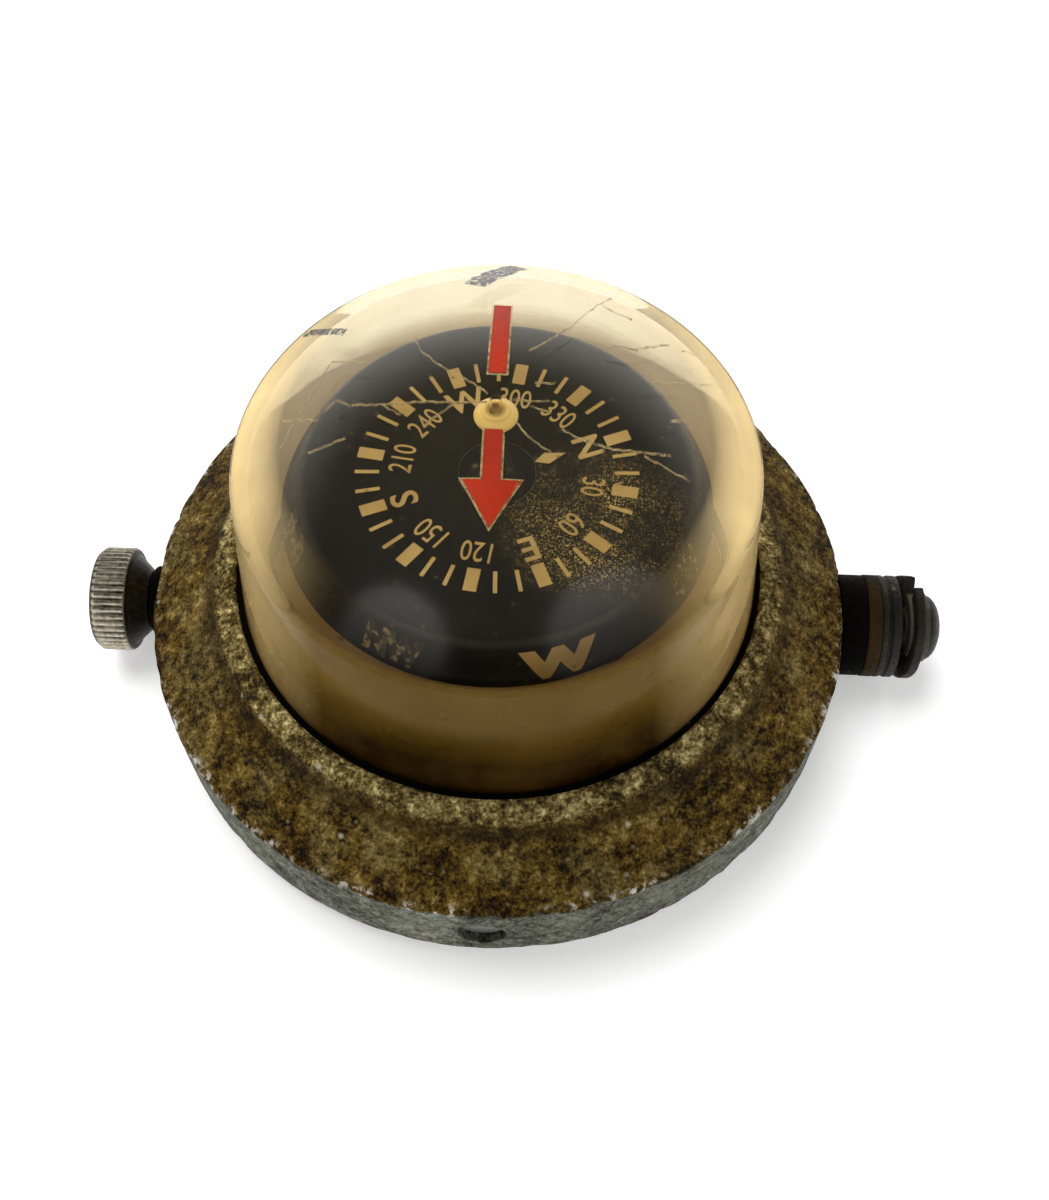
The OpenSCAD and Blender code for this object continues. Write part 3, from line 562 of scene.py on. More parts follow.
def knobMetal():
    # worn nickel with dirt and painted shade between the ridges, and painted shade in the hollow
    mat, tree, shader = newMaterial("knobMetal")
    parts = objectPlace(tree)[1]
    across = put(tree, "CombineXYZ", {"Y": parts.outputs["Y"],
                                      "Z": maths(tree, "SUBTRACT", parts.outputs["Z"],
                                                                          pivotHeight)})
    radius = put(tree, "VectorMath", {0: across.outputs[0]}, operation="LENGTH").outputs["Value"]
    texture = useGroup(tree, grain, Scale=1200.0, Pits=0.3)
    ridge = ramp(tree, radius, knob["radius"] - 0.45 * mm, knob["radius"] - 0.12 * mm)
    worn = ramp(tree, texture.outputs["Fine"], 0.35, 0.65)
    bright = blendColours(tree, worn, (0.20, 0.17, 0.115), (0.52, 0.48, 0.38))
    # between the ridges: dirt and painted shade
    ridgeDirtAndShade = blendColours(tree, worn, (0.020, 0.015, 0.008), (0.07, 0.058, 0.035))
    outside = ramp(tree, radius, knob["radius"] - 1.2 * mm, knob["radius"] - 0.9 * mm)
    colour = blendColours(tree, ridge, ridgeDirtAndShade, bright)
    # painted shade on the hollow inner face and below the ridges
    paintedHollowShade = blendColours(tree, worn, (0.0015, 0.0012, 0.0006), (0.014, 0.011, 0.005))
    face = ramp(tree, parts.outputs["X"], knobLow.x + knob["width"] - 0.2 * mm,
                knobLow.x + knob["width"] + 0.1 * mm)
    colour = blendColours(tree, times(tree, face, 0.9), colour, paintedHollowShade)
    colour = blendColours(tree, maths(tree, "SUBTRACT", 1.0, outside, True), colour, paintedHollowShade)
    feed(shader, "Base Color", colour)
    metal = times(tree, ramp(tree, ridge, 0.0, 1.0, 0.3, 0.95), maths(tree, "SUBTRACT", outside, face, True))
    feed(shader, "Metallic", metal)
    feed(shader, "Specular IOR Level", 0.15)
    feed(shader, "Roughness", ramp(tree, texture.outputs["Fine"], 0.3, 0.7, 0.28, 0.5))
    bumpTo(tree, shader, texture.outputs["Fine"], 0.00012)
    return mat


def jewelRed():
    mat, tree, shader = newMaterial("jewelRed")
    texture = useGroup(tree, grain, Scale=2000.0)
    colour = blendColours(tree, texture.outputs["Coarse"], (0.55, 0.02, 0.05), (0.35, 0.01, 0.03))
    feed(shader, "Base Color", colour)
    feed(shader, "Roughness", 0.08)
    feed(shader, "Transmission Weight", 0.6)
    return mat


def crackWhite():
    # the broken faces inside the plastic
    mat, tree, shader = newMaterial("crackWhite")
    texture = useGroup(tree, grain, Scale=900.0)
    colour = blendColours(tree, texture.outputs["Coarse"], (0.60, 0.48, 0.28), (0.38, 0.27, 0.12))
    feed(shader, "Base Color", colour)
    feed(shader, "Alpha", ramp(tree, texture.outputs["Fine"], 0.40, 0.62, 0.10, 0.85))
    feed(shader, "Roughness", 0.35)
    return mat


# ---- base ring ----
ring = {"side": 14.6 * mm, "draft": 0.3 * mm, "coneRise": 6.7 * mm, "collarWidth": 3.9 * mm,
        "collarStep": 1.0 * mm, "lipDepth": 5.5 * mm, "wall": 6.7 * mm,
        "gap": 0.75 * mm, "steps": 420, "grain": 0.10 * mm, "dent": 0.28 * mm, "chip": 0.85 * mm,
        "spotRadius": 9.1 * mm, "spotDepth": 0.5 * mm, "boreRadius": 3.2 * mm, "headBore": 3.75 * mm}


def makeRing():
    r = ringHigh.y
    low = ringLow.z
    edge = low + ring["side"]
    step = edge + ring["coneRise"]
    opening = ring["opening"] = (domeHigh.x - 4 * mm) + 1.0 * mm
    collar = opening + ring["collarWidth"]
    seat = domeHigh.x + 0.3 * mm
    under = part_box("dome_gasket")[1].z + 0.7 * mm - ring["lipDepth"]
    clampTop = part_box("clamp_ring")[1].z
    cavity = r - ring["wall"]
    outline = [(r - ring["draft"], low), (r, edge - 0.1 * mm), (collar + 0.3 * mm, step),
               (collar, step + ring["collarStep"]), (opening + 0.4 * mm, ringHigh.z),
               (opening, ringHigh.z - 0.5 * mm), (opening, under), (seat, under), (seat, clampTop),
               (cavity, clampTop), (cavity, low)]
    bm = spun(dense(softened(outline, 0.35 * mm), ring["gap"]), ring["steps"])
    bm.normal_update()
    for v in bm.verts:
        p = v.co
        across = math.hypot(p.x, p.y)
        inBore = across < opening + 0.2 * mm or (across < seat + 0.2 * mm and p.z < under + 0.2 * mm)
        inCavity = across < cavity + 0.1 * mm and p.z < clampTop + 0.1 * mm
        beneath = p.z < low + 0.1 * mm and across < r - 2 * mm
        if inBore or inCavity or beneath:
            continue
        sink = ring["grain"] * (0.5 + 0.5 * noise.noise(p * 900))
        sink += ring["dent"] * max(0, noise.noise(p * 240))
        edgeGap = math.hypot(across - r, p.z - edge)
        lowGap = math.hypot(across - r, p.z - low)
        bite = max(0, noise.noise(p * 260) + 0.6 * noise.noise(p * 620 + Vector((3, 1, 7))) - 0.12)
        sink += ring["chip"] * bite * math.exp(-(edgeGap / (1.5 * mm)) ** 2)
        sink += ring["chip"] * 0.7 * bite * math.exp(-(lowGap / (1.2 * mm)) ** 2)
        v.co = p - v.normal * sink
    piece = keepMesh(bm, "castRing")
    bores = bmesh.new()
    long = ring["wall"] + 12 * mm
    for angle, shift, radius, at in ((0, 0, ring["boreRadius"], r), (math.pi, 0, ring["boreRadius"], r),
                                     (-math.pi / 2, 0, ring["headBore"], r),
                                     (0, 22 * mm, ring["headBore"], r - 4 * mm)):
        turn = Matrix.Rotation(angle, 4, "Z") @ Matrix.Translation((at - 1 * mm, shift, pivotHeight))
        bmesh.ops.create_cone(bores, cap_ends=True, segments=64, radius1=radius, radius2=radius, depth=long,
                              matrix=turn @ Matrix.Rotation(math.pi / 2, 4, "Y"))
    subtract(piece, bores)
    faces = bmesh.new()
    for side in (-1, 1):
        turn = Matrix.Translation((side * (r - ring["spotDepth"] + 3 * mm), 0, pivotHeight))
        bmesh.ops.create_cone(faces, cap_ends=True, segments=96, radius1=ring["spotRadius"],
                              radius2=ring["spotRadius"], depth=6 * mm,
                              matrix=turn @ Matrix.Rotation(math.pi / 2, 4, "Y"))
    subtract(piece, faces)
    smoothEdges(piece, 40)
    return settle(piece, castMetal(), "housing", "cast_metal", "base_ring")


# ---- dome ----
dome = {"taper": 2.1 * mm, "crownRise": 13.8 * mm, "shoulder": 2.5 * mm, "wall": 2.4 * mm, "extra": 0.8 * mm,
        "thickHeight": 15 * mm, "flange": 4 * mm, "flangeThick": 2.4 * mm, "grooveDepth": 0.8 * mm,
        "arrow": {"width": 2.5 * mm, "head": 8 * mm, "tail": 20.7 * mm, "gap": 5 * mm, "barb": 12.7 * mm,
                  "tip": 19.4 * mm}, "hole": 0.8 * mm}
dome["base"] = domeHigh.x - dome["flange"]
dome["top"] = dome["base"] - dome["taper"]
dome["corner"] = domeHigh.z - dome["crownRise"]
dome["ball"] = (dome["top"] ** 2 + dome["crownRise"] ** 2) / (2 * dome["crownRise"])
dome["centre"] = domeHigh.z - dome["ball"]
dome["lean"] = math.atan(dome["taper"] / (dome["corner"] - ringHigh.z))


def crownHeight(x, y, depth=0.0):
    return dome["centre"] + math.sqrt((dome["ball"] - depth) ** 2 - x * x - y * y)


def wallRadius(height):
    return dome["base"] - (height - ringHigh.z) * math.tan(dome["lean"])


def crownOutline(inset, fillet):
    # shoulder arc that meets the leaning wall and the crown, then the crown
    lean, ball = dome["lean"], dome["ball"] - inset
    rim = dome["top"] - inset
    high = math.sqrt(ball * ball - rim * rim)
    start = Vector((rim - fillet * math.cos(lean), high - fillet * math.sin(lean)))
    way = Vector((-math.sin(lean), math.cos(lean)))
    along = start.dot(way)
    middle = start + way * (math.sqrt(along * along - start.dot(start) + (ball - fillet) ** 2) - along)
    meet = math.atan2(middle.y, middle.x)
    points = []
    for k in range(11):
        a = lean + (meet - lean) * k / 10
        points.append((middle.x + fillet * math.cos(a), dome["centre"] + middle.y + fillet * math.sin(a)))
    for k in range(1, 49):
        a = meet + (math.pi / 2 - meet) * k / 48
        points.append((max(0.0, ball * math.cos(a)), dome["centre"] + ball * math.sin(a)))
    return points


def arrowFaces(bm, grow=0.0):
    shape = dome["arrow"]
    half, wing, neck = shape["width"] / 2 + grow, shape["head"] / 2 + 1.6 * grow, grow - shape["barb"]
    inner, tip = shape["gap"] - grow, -shape["tip"] - 1.3 * grow
    tail = [(-half, inner), (half, inner), (half, shape["tail"] + grow), (-half, shape["tail"] + grow)]
    head = [(-half, -inner), (-half, neck), (-wing, neck), (0, tip), (wing, neck), (half, neck),
            (half, -inner)]
    for points in (tail, head):
        bm.faces.new([bm.verts.new((x, y, 0)) for x, y in points])


def makeDome():
    thick = ringHigh.z + dome["thickHeight"]
    thin, stout = dome["wall"], dome["wall"] + dome["extra"]
    base = dome["base"]
    flangeTop = domeLow.z + dome["flangeThick"]
    outside = [(base + dome["flange"], domeLow.z), (base + dome["flange"], flangeTop), (base, flangeTop),
               (base, ringHigh.z)] + crownOutline(0, dome["shoulder"])
    inside = [(base - stout, domeLow.z), (base - stout, ringHigh.z),
              (wallRadius(thick - 9 * mm) - stout, thick - 9 * mm),
              (wallRadius(thick + mm) - thin, thick + mm)] + crownOutline(thin, 2.6 * mm)
    outline = dense(outside, 1.5 * mm, False) + list(reversed(dense(inside, 1.5 * mm, False)))
    bm = spun(outline, 256)
    piece = keepMesh(bm, "domeShell")
    groove = bmesh.new()
    arrowFaces(groove)
    bmesh.ops.triangulate(groove, faces=groove.faces)
    bmesh.ops.subdivide_edges(groove, edges=groove.edges, cuts=3, use_grid_fill=True)
    for v in groove.verts:
        v.co.z = crownHeight(v.co.x, v.co.y, dome["grooveDepth"])
    raised = bmesh.ops.extrude_face_region(groove, geom=groove.faces[:])
    tops = [g for g in raised["geom"] if isinstance(g, bmesh.types.BMVert)]
    bmesh.ops.translate(groove, verts=tops, vec=(0, 0, 3 * mm))
    bmesh.ops.recalc_face_normals(groove, faces=groove.faces)
    subtract(piece, groove)
    drill = bmesh.new()
    bmesh.ops.create_cone(drill, cap_ends=True, segments=32, radius1=dome["hole"], radius2=dome["hole"],
                          depth=8 * mm, matrix=Matrix.Translation((0, 0, domeHigh.z)))
    subtract(piece, drill)
    smoothEdges(piece, 25)
    return settle(piece, clearAcrylic(), "housing", "clear_acrylic", "dome")


# ---- cracks in the crown, runs listed in millimetres ----
cracks = {"depth": 0.7 * mm, "half": 0.40 * mm, "thick": 0.03 * mm, "seed": 11, "sway": 0.12, "runs": [
    [(-1.2, 1.4), (-3.3, 3.2), (-5.3, 4.8), (-8.7, 7.3), (-11.4, 10.6), (-12.5, 13.8)],
    [(-1.1, -0.1), (-5.8, -0.2), (-11.3, 0.2), (-15.8, 0.4), (-20.7, 1.3), (-22.8, 2.9)],
    [(-22.8, 2.9), (-24.5, 1.3)],
    [(-5.8, -0.4), (-8.0, -2.4), (-9.5, -3.5)],
    [(2.4, 0.5), (5.0, 0.3), (7.4, 0.7)],
    [(2.5, -2.8), (4.1, -5.0), (6.5, -7.0), (7.9, -7.7)],
    [(4.3, 10.2), (7.1, 13.1), (10.3, 17.4), (12.7, 22.3), (16.2, 28.9)],
    [(14.9, 25.2), (17.0, 23.5), (19.2, 23.0)],
    [(21.1, 27.9), (24.2, 28.0), (27.6, 26.5)],
    [(16.1, 14.3), (19.8, 14.8), (24.7, 18.7)],
    [(26.9, 18.6), (30.0, 19.0), (33.2, 17.9)],
    [(21.4, 8.1), (26.9, 10.3), (32.4, 13.3)],
    [(9.1, -3.7), (11.5, -5.0), (16.6, -5.7), (24.6, -4.4)],
    [(20.9, -5.6), (24.2, -6.6), (27.4, -7.5)],
    [(-24.7, 11.5), (-19.4, 9.5)],
    [(-24.7, 11.2), (-28.8, 1.5), (-30.7, -3.5)],
    [(-31.5, 2.2), (-25.4, -0.1)],
    [(-26.2, -5.5), (-20.8, -4.3)],
    [(4.7, -0.5), (7.7, -1.3)],
    [(24.6, 1.7), (26.9, 2.8)],
    [(5.4, 4.0), (8.3, 4.2)],
    [(-15.7, 0.2), (-13.2, -1.7)]]}


def makeCracks():
    random.seed(cracks["seed"])
    data = bpy.data.curves.new("cracks", "CURVE")
    data.dimensions = "2D"
    data.fill_mode = "NONE"
    data.extrude = cracks["half"]
    data.bevel_depth = cracks["thick"]
    data.bevel_resolution = 0
    for run in cracks["runs"]:
        points = []
        for (x0, y0), (x1, y1) in zip(run, run[1:]):
            steps = max(2, int(math.hypot(x1 - x0, y1 - y0) / 0.6))
            points += [(x0 + (x1 - x0) * k / steps, y0 + (y1 - y0) * k / steps) for k in range(steps)]
        points.append(run[-1])
        spline = data.splines.new("POLY")
        spline.points.add(len(points) - 1)
        for spot, (x, y) in zip(spline.points, points):
            sway = cracks["sway"]
            spot.co = ((x + random.uniform(-sway, sway)) * mm, (y + random.uniform(-sway, sway)) * mm, 0, 1)
    curve = addObject("cracksCurve", data)
    mesh = finalMesh(curve)
    bpy.data.objects.remove(curve)
    bm = bmesh.new()
    bm.from_mesh(mesh)
    bpy.data.meshes.remove(mesh)
    bmesh.ops.remove_doubles(bm, verts=bm.verts, dist=1e-7)
    bmesh.ops.holes_fill(bm, edges=[e for e in bm.edges if e.is_boundary], sides=0)
    for v in bm.verts:
        swell = 0.35 + 0.65 * (0.5 + 0.5 * noise.noise(Vector((v.co.x, v.co.y, 0)) * 260))
        v.co.z = crownHeight(v.co.x, v.co.y, cracks["depth"]) + v.co.z * swell
    bmesh.ops.recalc_face_normals(bm, faces=bm.faces)
    return settle(keepMesh(bm, "crownCracks"), crackWhite(), "housing", "clear_acrylic")


# ---- pale broken edge round the arrow's groove, and the bead under the crown ----
arrowEdge = {"wide": 0.30 * mm, "deep": 0.18 * mm, "thick": 0.05 * mm}
bead = {"top": 1.9 * mm, "neck": 2.0 * mm, "belly": 3.2 * mm}


def makeArrowEdge():
    bm = bmesh.new()
    arrowFaces(bm, arrowEdge["wide"])
    bm.normal_update()
    inner = bm.faces[:]
    bmesh.ops.inset_region(bm, faces=inner, thickness=arrowEdge["wide"], use_even_offset=True,
                           use_boundary=True)
    bmesh.ops.delete(bm, geom=inner, context="FACES")
    bmesh.ops.subdivide_edges(bm, edges=bm.edges, cuts=6, use_grid_fill=True)
    for v in bm.verts:
        v.co.z = crownHeight(v.co.x, v.co.y, arrowEdge["deep"] + 0.2 * mm)
    bmesh.ops.solidify(bm, geom=bm.faces[:], thickness=arrowEdge["thick"])
    bmesh.ops.recalc_face_normals(bm, faces=bm.faces)
    return settle(keepMesh(bm, "arrowEdge"), crackWhite(), "housing", "clear_acrylic")


def makeBead():
    low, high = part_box("crown_boss")
    outline = [(0, low.z), (bead["belly"] * 0.6, low.z), (bead["belly"], low.z + 0.9 * mm),
               (bead["belly"] * 0.97, low.z + 1.4 * mm), (bead["neck"], high.z - 0.5 * mm),
               (bead["top"], high.z - 0.05 * mm), (0.8 * mm, high.z - 0.05 * mm),
               (0.8 * mm, high.z - 1.6 * mm),
               (0, high.z - 1.6 * mm)]
    piece = keepMesh(spun(softened(outline, 0.5 * mm, 5, False), 72, False), "crownBead", 40)
    return settle(piece, beadWax(), "housing", "cream_plastic", "crown_boss")


def beadWax():
    # waxy yellow plastic, glossy, darker round the hole
    mat, tree, shader = newMaterial("beadWax")
    where = put(tree, "TexCoord").outputs["Object"]
    texture = useGroup(tree, grain, Scale=900.0)
    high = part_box("crown_boss")[1]
    away = put(tree, "VectorMath", {0: where, 1: (0, 0, high.z)}, operation="DISTANCE").outputs["Value"]
    colour = blendColours(tree, texture.outputs["Coarse"], (0.80, 0.62, 0.28), (0.62, 0.44, 0.15))
    colour = blendColours(tree, ramp(tree, away, 1.7 * mm, 0.7 * mm), colour, (0.10, 0.06, 0.03))
    colour = blendColours(tree, ramp(tree, away, 2.5 * mm, 3.3 * mm, 0.0, 0.5), colour, (0.50, 0.34, 0.10))
    feed(shader, "Base Color", colour)
    feed(shader, "Roughness", 0.22)
    feed(shader, "Subsurface Weight", 0.3)
    feed(shader, "Subsurface Scale", 0.001)
    bumpTo(tree, shader, texture.outputs["Fine"], 0.00004)
    return mat


# ---- haze, painted shade and painted glow in the yellowed skin of the dome ----
hazeAndPaintedLightSkin = {"deep": 0.30 * mm, "thick": 0.04 * mm, "inner": 26 * mm, "shoulder": 2.2 * mm}


def hazeFilm():
    # cream where the wall is seen from inside; towards the front and the foot it turns brown and nearly
    # black, painted shade of the shaded bowl seen through the wall, with a random dirty tone besides
    mat, tree, shader = newMaterial("wallHazeAndPaintedLight")
    where, parts = objectPlace(tree)
    radius, height = axisDistance(tree, parts), parts.outputs["Z"]
    texture = useGroup(tree, grain, Scale=700.0)
    tone = ramp(tree, texture.outputs["Coarse"], 0.35, 0.65)
    around = maths(tree, "DIVIDE", parts.outputs["Y"], radius)
    front, back = ramp(tree, around, -0.30, -0.80), ramp(tree, around, 0.25, 0.80)
    down = ramp(tree, height, ringHigh.z + 17 * mm, ringHigh.z + 6 * mm)
    # painted shade: brown towards the front, nearly black at the front of the foot
    colour = blendColours(tree, front, (0.80, 0.66, 0.40), (0.100, 0.062, 0.010))
    foot = blendColours(tree, front, (0.66, 0.53, 0.31), (0.004, 0.0015, 0.0002))
    colour = blendColours(tree, down, colour, foot)
    colour = blendColours(tree, times(tree, tone, 0.25), colour, (0.20, 0.13, 0.04))
    feed(shader, "Base Color", colour)
    onWall = ramp(tree, height, domeHigh.z - 13.4 * mm, domeHigh.z - 15.2 * mm)
    clearer = times(tree, back, ramp(tree, down, 0.0, 1.0, 0.36, 0.04))
    wall = maths(tree, "MAXIMUM", ramp(tree, front, 0.0, 1.0, 0.62, 0.93),
                 ramp(tree, down, 0.0, 0.7, 0.50, 1.0))
    wall = maths(tree, "SUBTRACT", wall, clearer)
    # seen from outside the plastic is clearer than on its inner side, where more opaque cream is painted
    # light for the light gathering there
    outward = put(tree, "VectorMath", {0: put(tree, "NewGeometry").outputs["Normal"], 1: where},
                  operation="DOT_PRODUCT").outputs["Value"]
    clear = maths(tree, "MAXIMUM", front, ramp(tree, outward, -10 * mm, 10 * mm, 1.0, 0.22))
    wall = times(tree, wall, clear)
    crown = ramp(tree, radius, hazeAndPaintedLightSkin["inner"] + 5 * mm, hazeAndPaintedLightSkin["inner"] + 11.5 * mm, 0.0, 0.52)
    crown = times(tree, crown, maths(tree, "SUBTRACT", 1.0, front))
    crown = times(tree, crown, ramp(tree, back, 0.0, 1.0, 1.0, 0.4))
    solid = maths(tree, "ADD", times(tree, wall, onWall),
                  times(tree, crown, maths(tree, "SUBTRACT", 1.0, onWall)))
    streak = put(tree, "TexNoise", {"Vector": where, "Scale": 160.0})
    solid = times(tree, solid, ramp(tree, streak.outputs["Fac"], 0.3, 0.7, 0.88, 1.08), True)
    feed(shader, "Alpha", solid)
    # painted glow standing in for light carried round inside the plastic, none at the front
    feed(shader, "Emission Color", blendColours(tree, front, (0.20, 0.162, 0.088), (0, 0, 0)))
    feed(shader, "Emission Strength", 1.0)
    feed(shader, "Specular IOR Level", 0.0)
    feed(shader, "Roughness", 0.7)
    return mat


def makeHaze():
    # a thin skin just under the outer surface of the wall and the shoulder, holding the haze, the painted
    # shade and the painted glow
    line = [(dome["base"] - hazeAndPaintedLightSkin["deep"], domeLow.z), (dome["base"] - hazeAndPaintedLightSkin["deep"], ringHigh.z)]
    line += [p for p in crownOutline(hazeAndPaintedLightSkin["deep"], hazeAndPaintedLightSkin["shoulder"]) if p[0] > hazeAndPaintedLightSkin["inner"]]
    far = [(x - hazeAndPaintedLightSkin["thick"], z - hazeAndPaintedLightSkin["thick"]) for x, z in reversed(line)]
    piece = keepMesh(spun(line + far, 200), "yellowedSkinAndPaintedLight", 40)
    return settle(piece, hazeFilm(), "housing", "clear_acrylic")


# ---- card ----
card = {"flare": 3.3 * mm, "thick": 0.8 * mm, "hub": 5.6 * mm, "heading": 22.0, "inkThick": 0.06 * mm,
        "tickOuter": 21.0 * mm, "wideTick": (3.85 * mm, 1.95 * mm), "narrowTick": (3.6 * mm, 0.6 * mm),
        "labelRadius": 14.1 * mm, "digitHeight": 3.55 * mm, "letterHeight": 4.1 * mm,
        "skirtLetter": 4.4 * mm, "letterTurn": 177.2, "keptInk": (2 * mm, 19 * mm)}


def makeCard():
    top, low = cardHigh.z, cardLow.z
    skirt = cardHigh.x
    face = skirt - card["flare"]
    thick = card["thick"]
    outline = [(card["hub"], top - thick), (face - 1 * mm, top - thick), (skirt - thick, low), (skirt, low),
               (face, top - 0.9 * mm), (face - 0.9 * mm, top), (card["hub"], top)]
    bm = spun(dense(softened(outline, 0.5 * mm, 4), 2 * mm), 240)
    piece = keepMesh(bm, "cardDisc")
    smoothEdges(piece, 40)
    return settle(piece, cardBlack(), "card", "card_black", "card")


def textMesh(body, size, squeeze=1.0, bold=0.0):
    data = bpy.data.curves.new("label", "FONT")
    data.body, data.size, data.align_x, data.align_y = body, size / 0.73, "CENTER", "CENTER"
    data.extrude = card["inkThick"] / 2
    data.offset = bold
    data.resolution_u = 5
    label = addObject("label", data)
    mesh = finalMesh(label)
    bpy.data.objects.remove(label)
    mesh.transform(Matrix.Diagonal((squeeze, 1, 1, 1)))
    bm = bmesh.new()
    bm.from_mesh(mesh)
    bmesh.ops.remove_doubles(bm, verts=bm.verts, dist=1e-7)
    bmesh.ops.recalc_face_normals(bm, faces=bm.faces)
    bm.to_mesh(mesh)
    bm.free()
    return mesh


def makeMarks():
    top = cardHigh.z + card["inkThick"] / 2
    bm = bmesh.new()
    for k in range(36):
        long, wide = card["wideTick"] if k % 3 == 0 else card["narrowTick"]
        turn = Matrix.Rotation(math.radians(card["heading"] - 10 * k), 4, "Z")
        place = turn @ Matrix.Translation((card["tickOuter"] - long / 2, 0, top))
        bmesh.ops.create_cube(bm, size=1, matrix=place @ Matrix.Diagonal((long, wide, card["inkThick"], 1)))
    kite = [bm.verts.new((x * mm, y * mm, cardHigh.z)) for x,
            y in ((5.9, 0), (7.8, -1.05), (10.8, 0), (7.8, 1.05))]
    face = bm.faces.new(kite)
    raised = bmesh.ops.extrude_face_region(bm, geom=[face])
    moved = [g for g in raised["geom"] if isinstance(g, bmesh.types.BMVert)]
    bmesh.ops.translate(bm, verts=moved, vec=(0, 0, card["inkThick"]))
    bmesh.ops.rotate(bm, verts=kite + moved, cent=(0, 0, 0),
                     matrix=Matrix.Rotation(math.radians(card["heading"]), 3, "Z"))
    bmesh.ops.recalc_face_normals(bm, faces=bm.faces)
    line = spun([(card["hub"] + 0.1 * mm, cardHigh.z), (card["hub"] + 0.22 * mm, cardHigh.z),
                 (card["hub"] + 0.22 * mm, top + 0.03 * mm), (card["hub"] + 0.1 * mm, top + 0.03 * mm)], 96)
    settle(keepMesh(line, "hubLine"), finishes["magnet_steel"], "card", "card_print")
    settle(keepMesh(bm, "cardTicks"), printInk, "card", "card_print")
    bm = bmesh.new()
    for k in range(12):
        azimuth = 30 * k
        letter = {0: "N", 90: "E", 180: "S", 270: "W"}.get(azimuth)
        height = card["letterHeight"] if letter else card["digitHeight"]
        mesh = textMesh(letter or str(azimuth), height, 1.0 if letter else 0.72,
                        0.00010 if letter else 0.00001)
        angle = math.radians(card["heading"] - azimuth)
        place = Matrix.Rotation(angle, 4, "Z") @ Matrix.Translation((card["labelRadius"], 0, top))
        mesh.transform(place @ Matrix.Rotation(-math.pi / 2, 4, "Z"))
        bm.from_mesh(mesh)
        bpy.data.meshes.remove(mesh)
    settle(keepMesh(bm, "cardNumbers"), printInk, "card", "card_print")
    makeSkirtLetters()


def wornInk():
    # all that is left of the paint on the rubbed letters
    mat, tree, shader = newMaterial("wornInk")
    texture = useGroup(tree, grain, Scale=900.0)
    colour = blendColours(tree, texture.outputs["Coarse"], (0.22, 0.17, 0.08), (0.40, 0.31, 0.15))
    feed(shader, "Base Color", colour)
    feed(shader, "Alpha", ramp(tree, texture.outputs["Fine"], 0.50, 0.58, 0.05, 0.75))
    feed(shader, "Roughness", 0.8)
    return mat


def makeSkirtLetters():
    # big letters bent round the skirt, read from the side that faces away from their heading
    low, high = Vector((cardHigh.x, cardLow.z)), Vector((cardHigh.x - card["flare"], cardHigh.z - 0.9 * mm))
    slope = high - low
    middle = low + slope * 0.5
    out = Vector((slope.y, -slope.x)).normalized()
    bm = bmesh.new()
    for k, word in enumerate(("N", "NE", "E", "SE", "S", "SW", "W", "NW")):
        mesh = textMesh(word, card["skirtLetter"], 1.55 if len(word) == 1 else 0.8, 0.00045)
        letter = bmesh.new()
        letter.from_mesh(mesh)
        bpy.data.meshes.remove(mesh)
        for cut in range(-7, 8):
            bmesh.ops.bisect_plane(letter, geom=letter.verts[:] + letter.edges[:] + letter.faces[:],
                                   plane_co=(cut * mm, 0, 0), plane_no=(1, 0, 0))
        centre = math.radians(card["heading"] - 45 * k + card["letterTurn"])
        for v in letter.verts:
            side, up, lift = v.co.x, v.co.y, v.co.z + card["inkThick"] / 2
            spot = middle + slope.normalized() * up + out * lift
            angle = centre + side / middle.x
            v.co = (spot.x * math.cos(angle), spot.x * math.sin(angle), spot.y)
        mesh = bpy.data.meshes.new("bent")
        letter.to_mesh(mesh)
        letter.free()
        bm.from_mesh(mesh)
        bpy.data.meshes.remove(mesh)
    piece = keepMesh(bm, "skirtLetters")
    settle(piece, printInk, "card", "card_print")
    piece.data.materials.append(wornInk())
    for face in piece.data.polygons:
        if face.center.y > 0 or not card["keptInk"][0] < face.center.x < card["keptInk"][1]:
            face.material_index = 1


# ---- knob ----
knob = {"radius": (knobHigh.z - knobLow.z) / 2, "width": 6.0 * mm, "ridges": 44, "ridgeDepth": 0.45 * mm,
        "hub": 5.0 * mm, "hubLength": 3.0 * mm, "thread": 3.15 * mm}


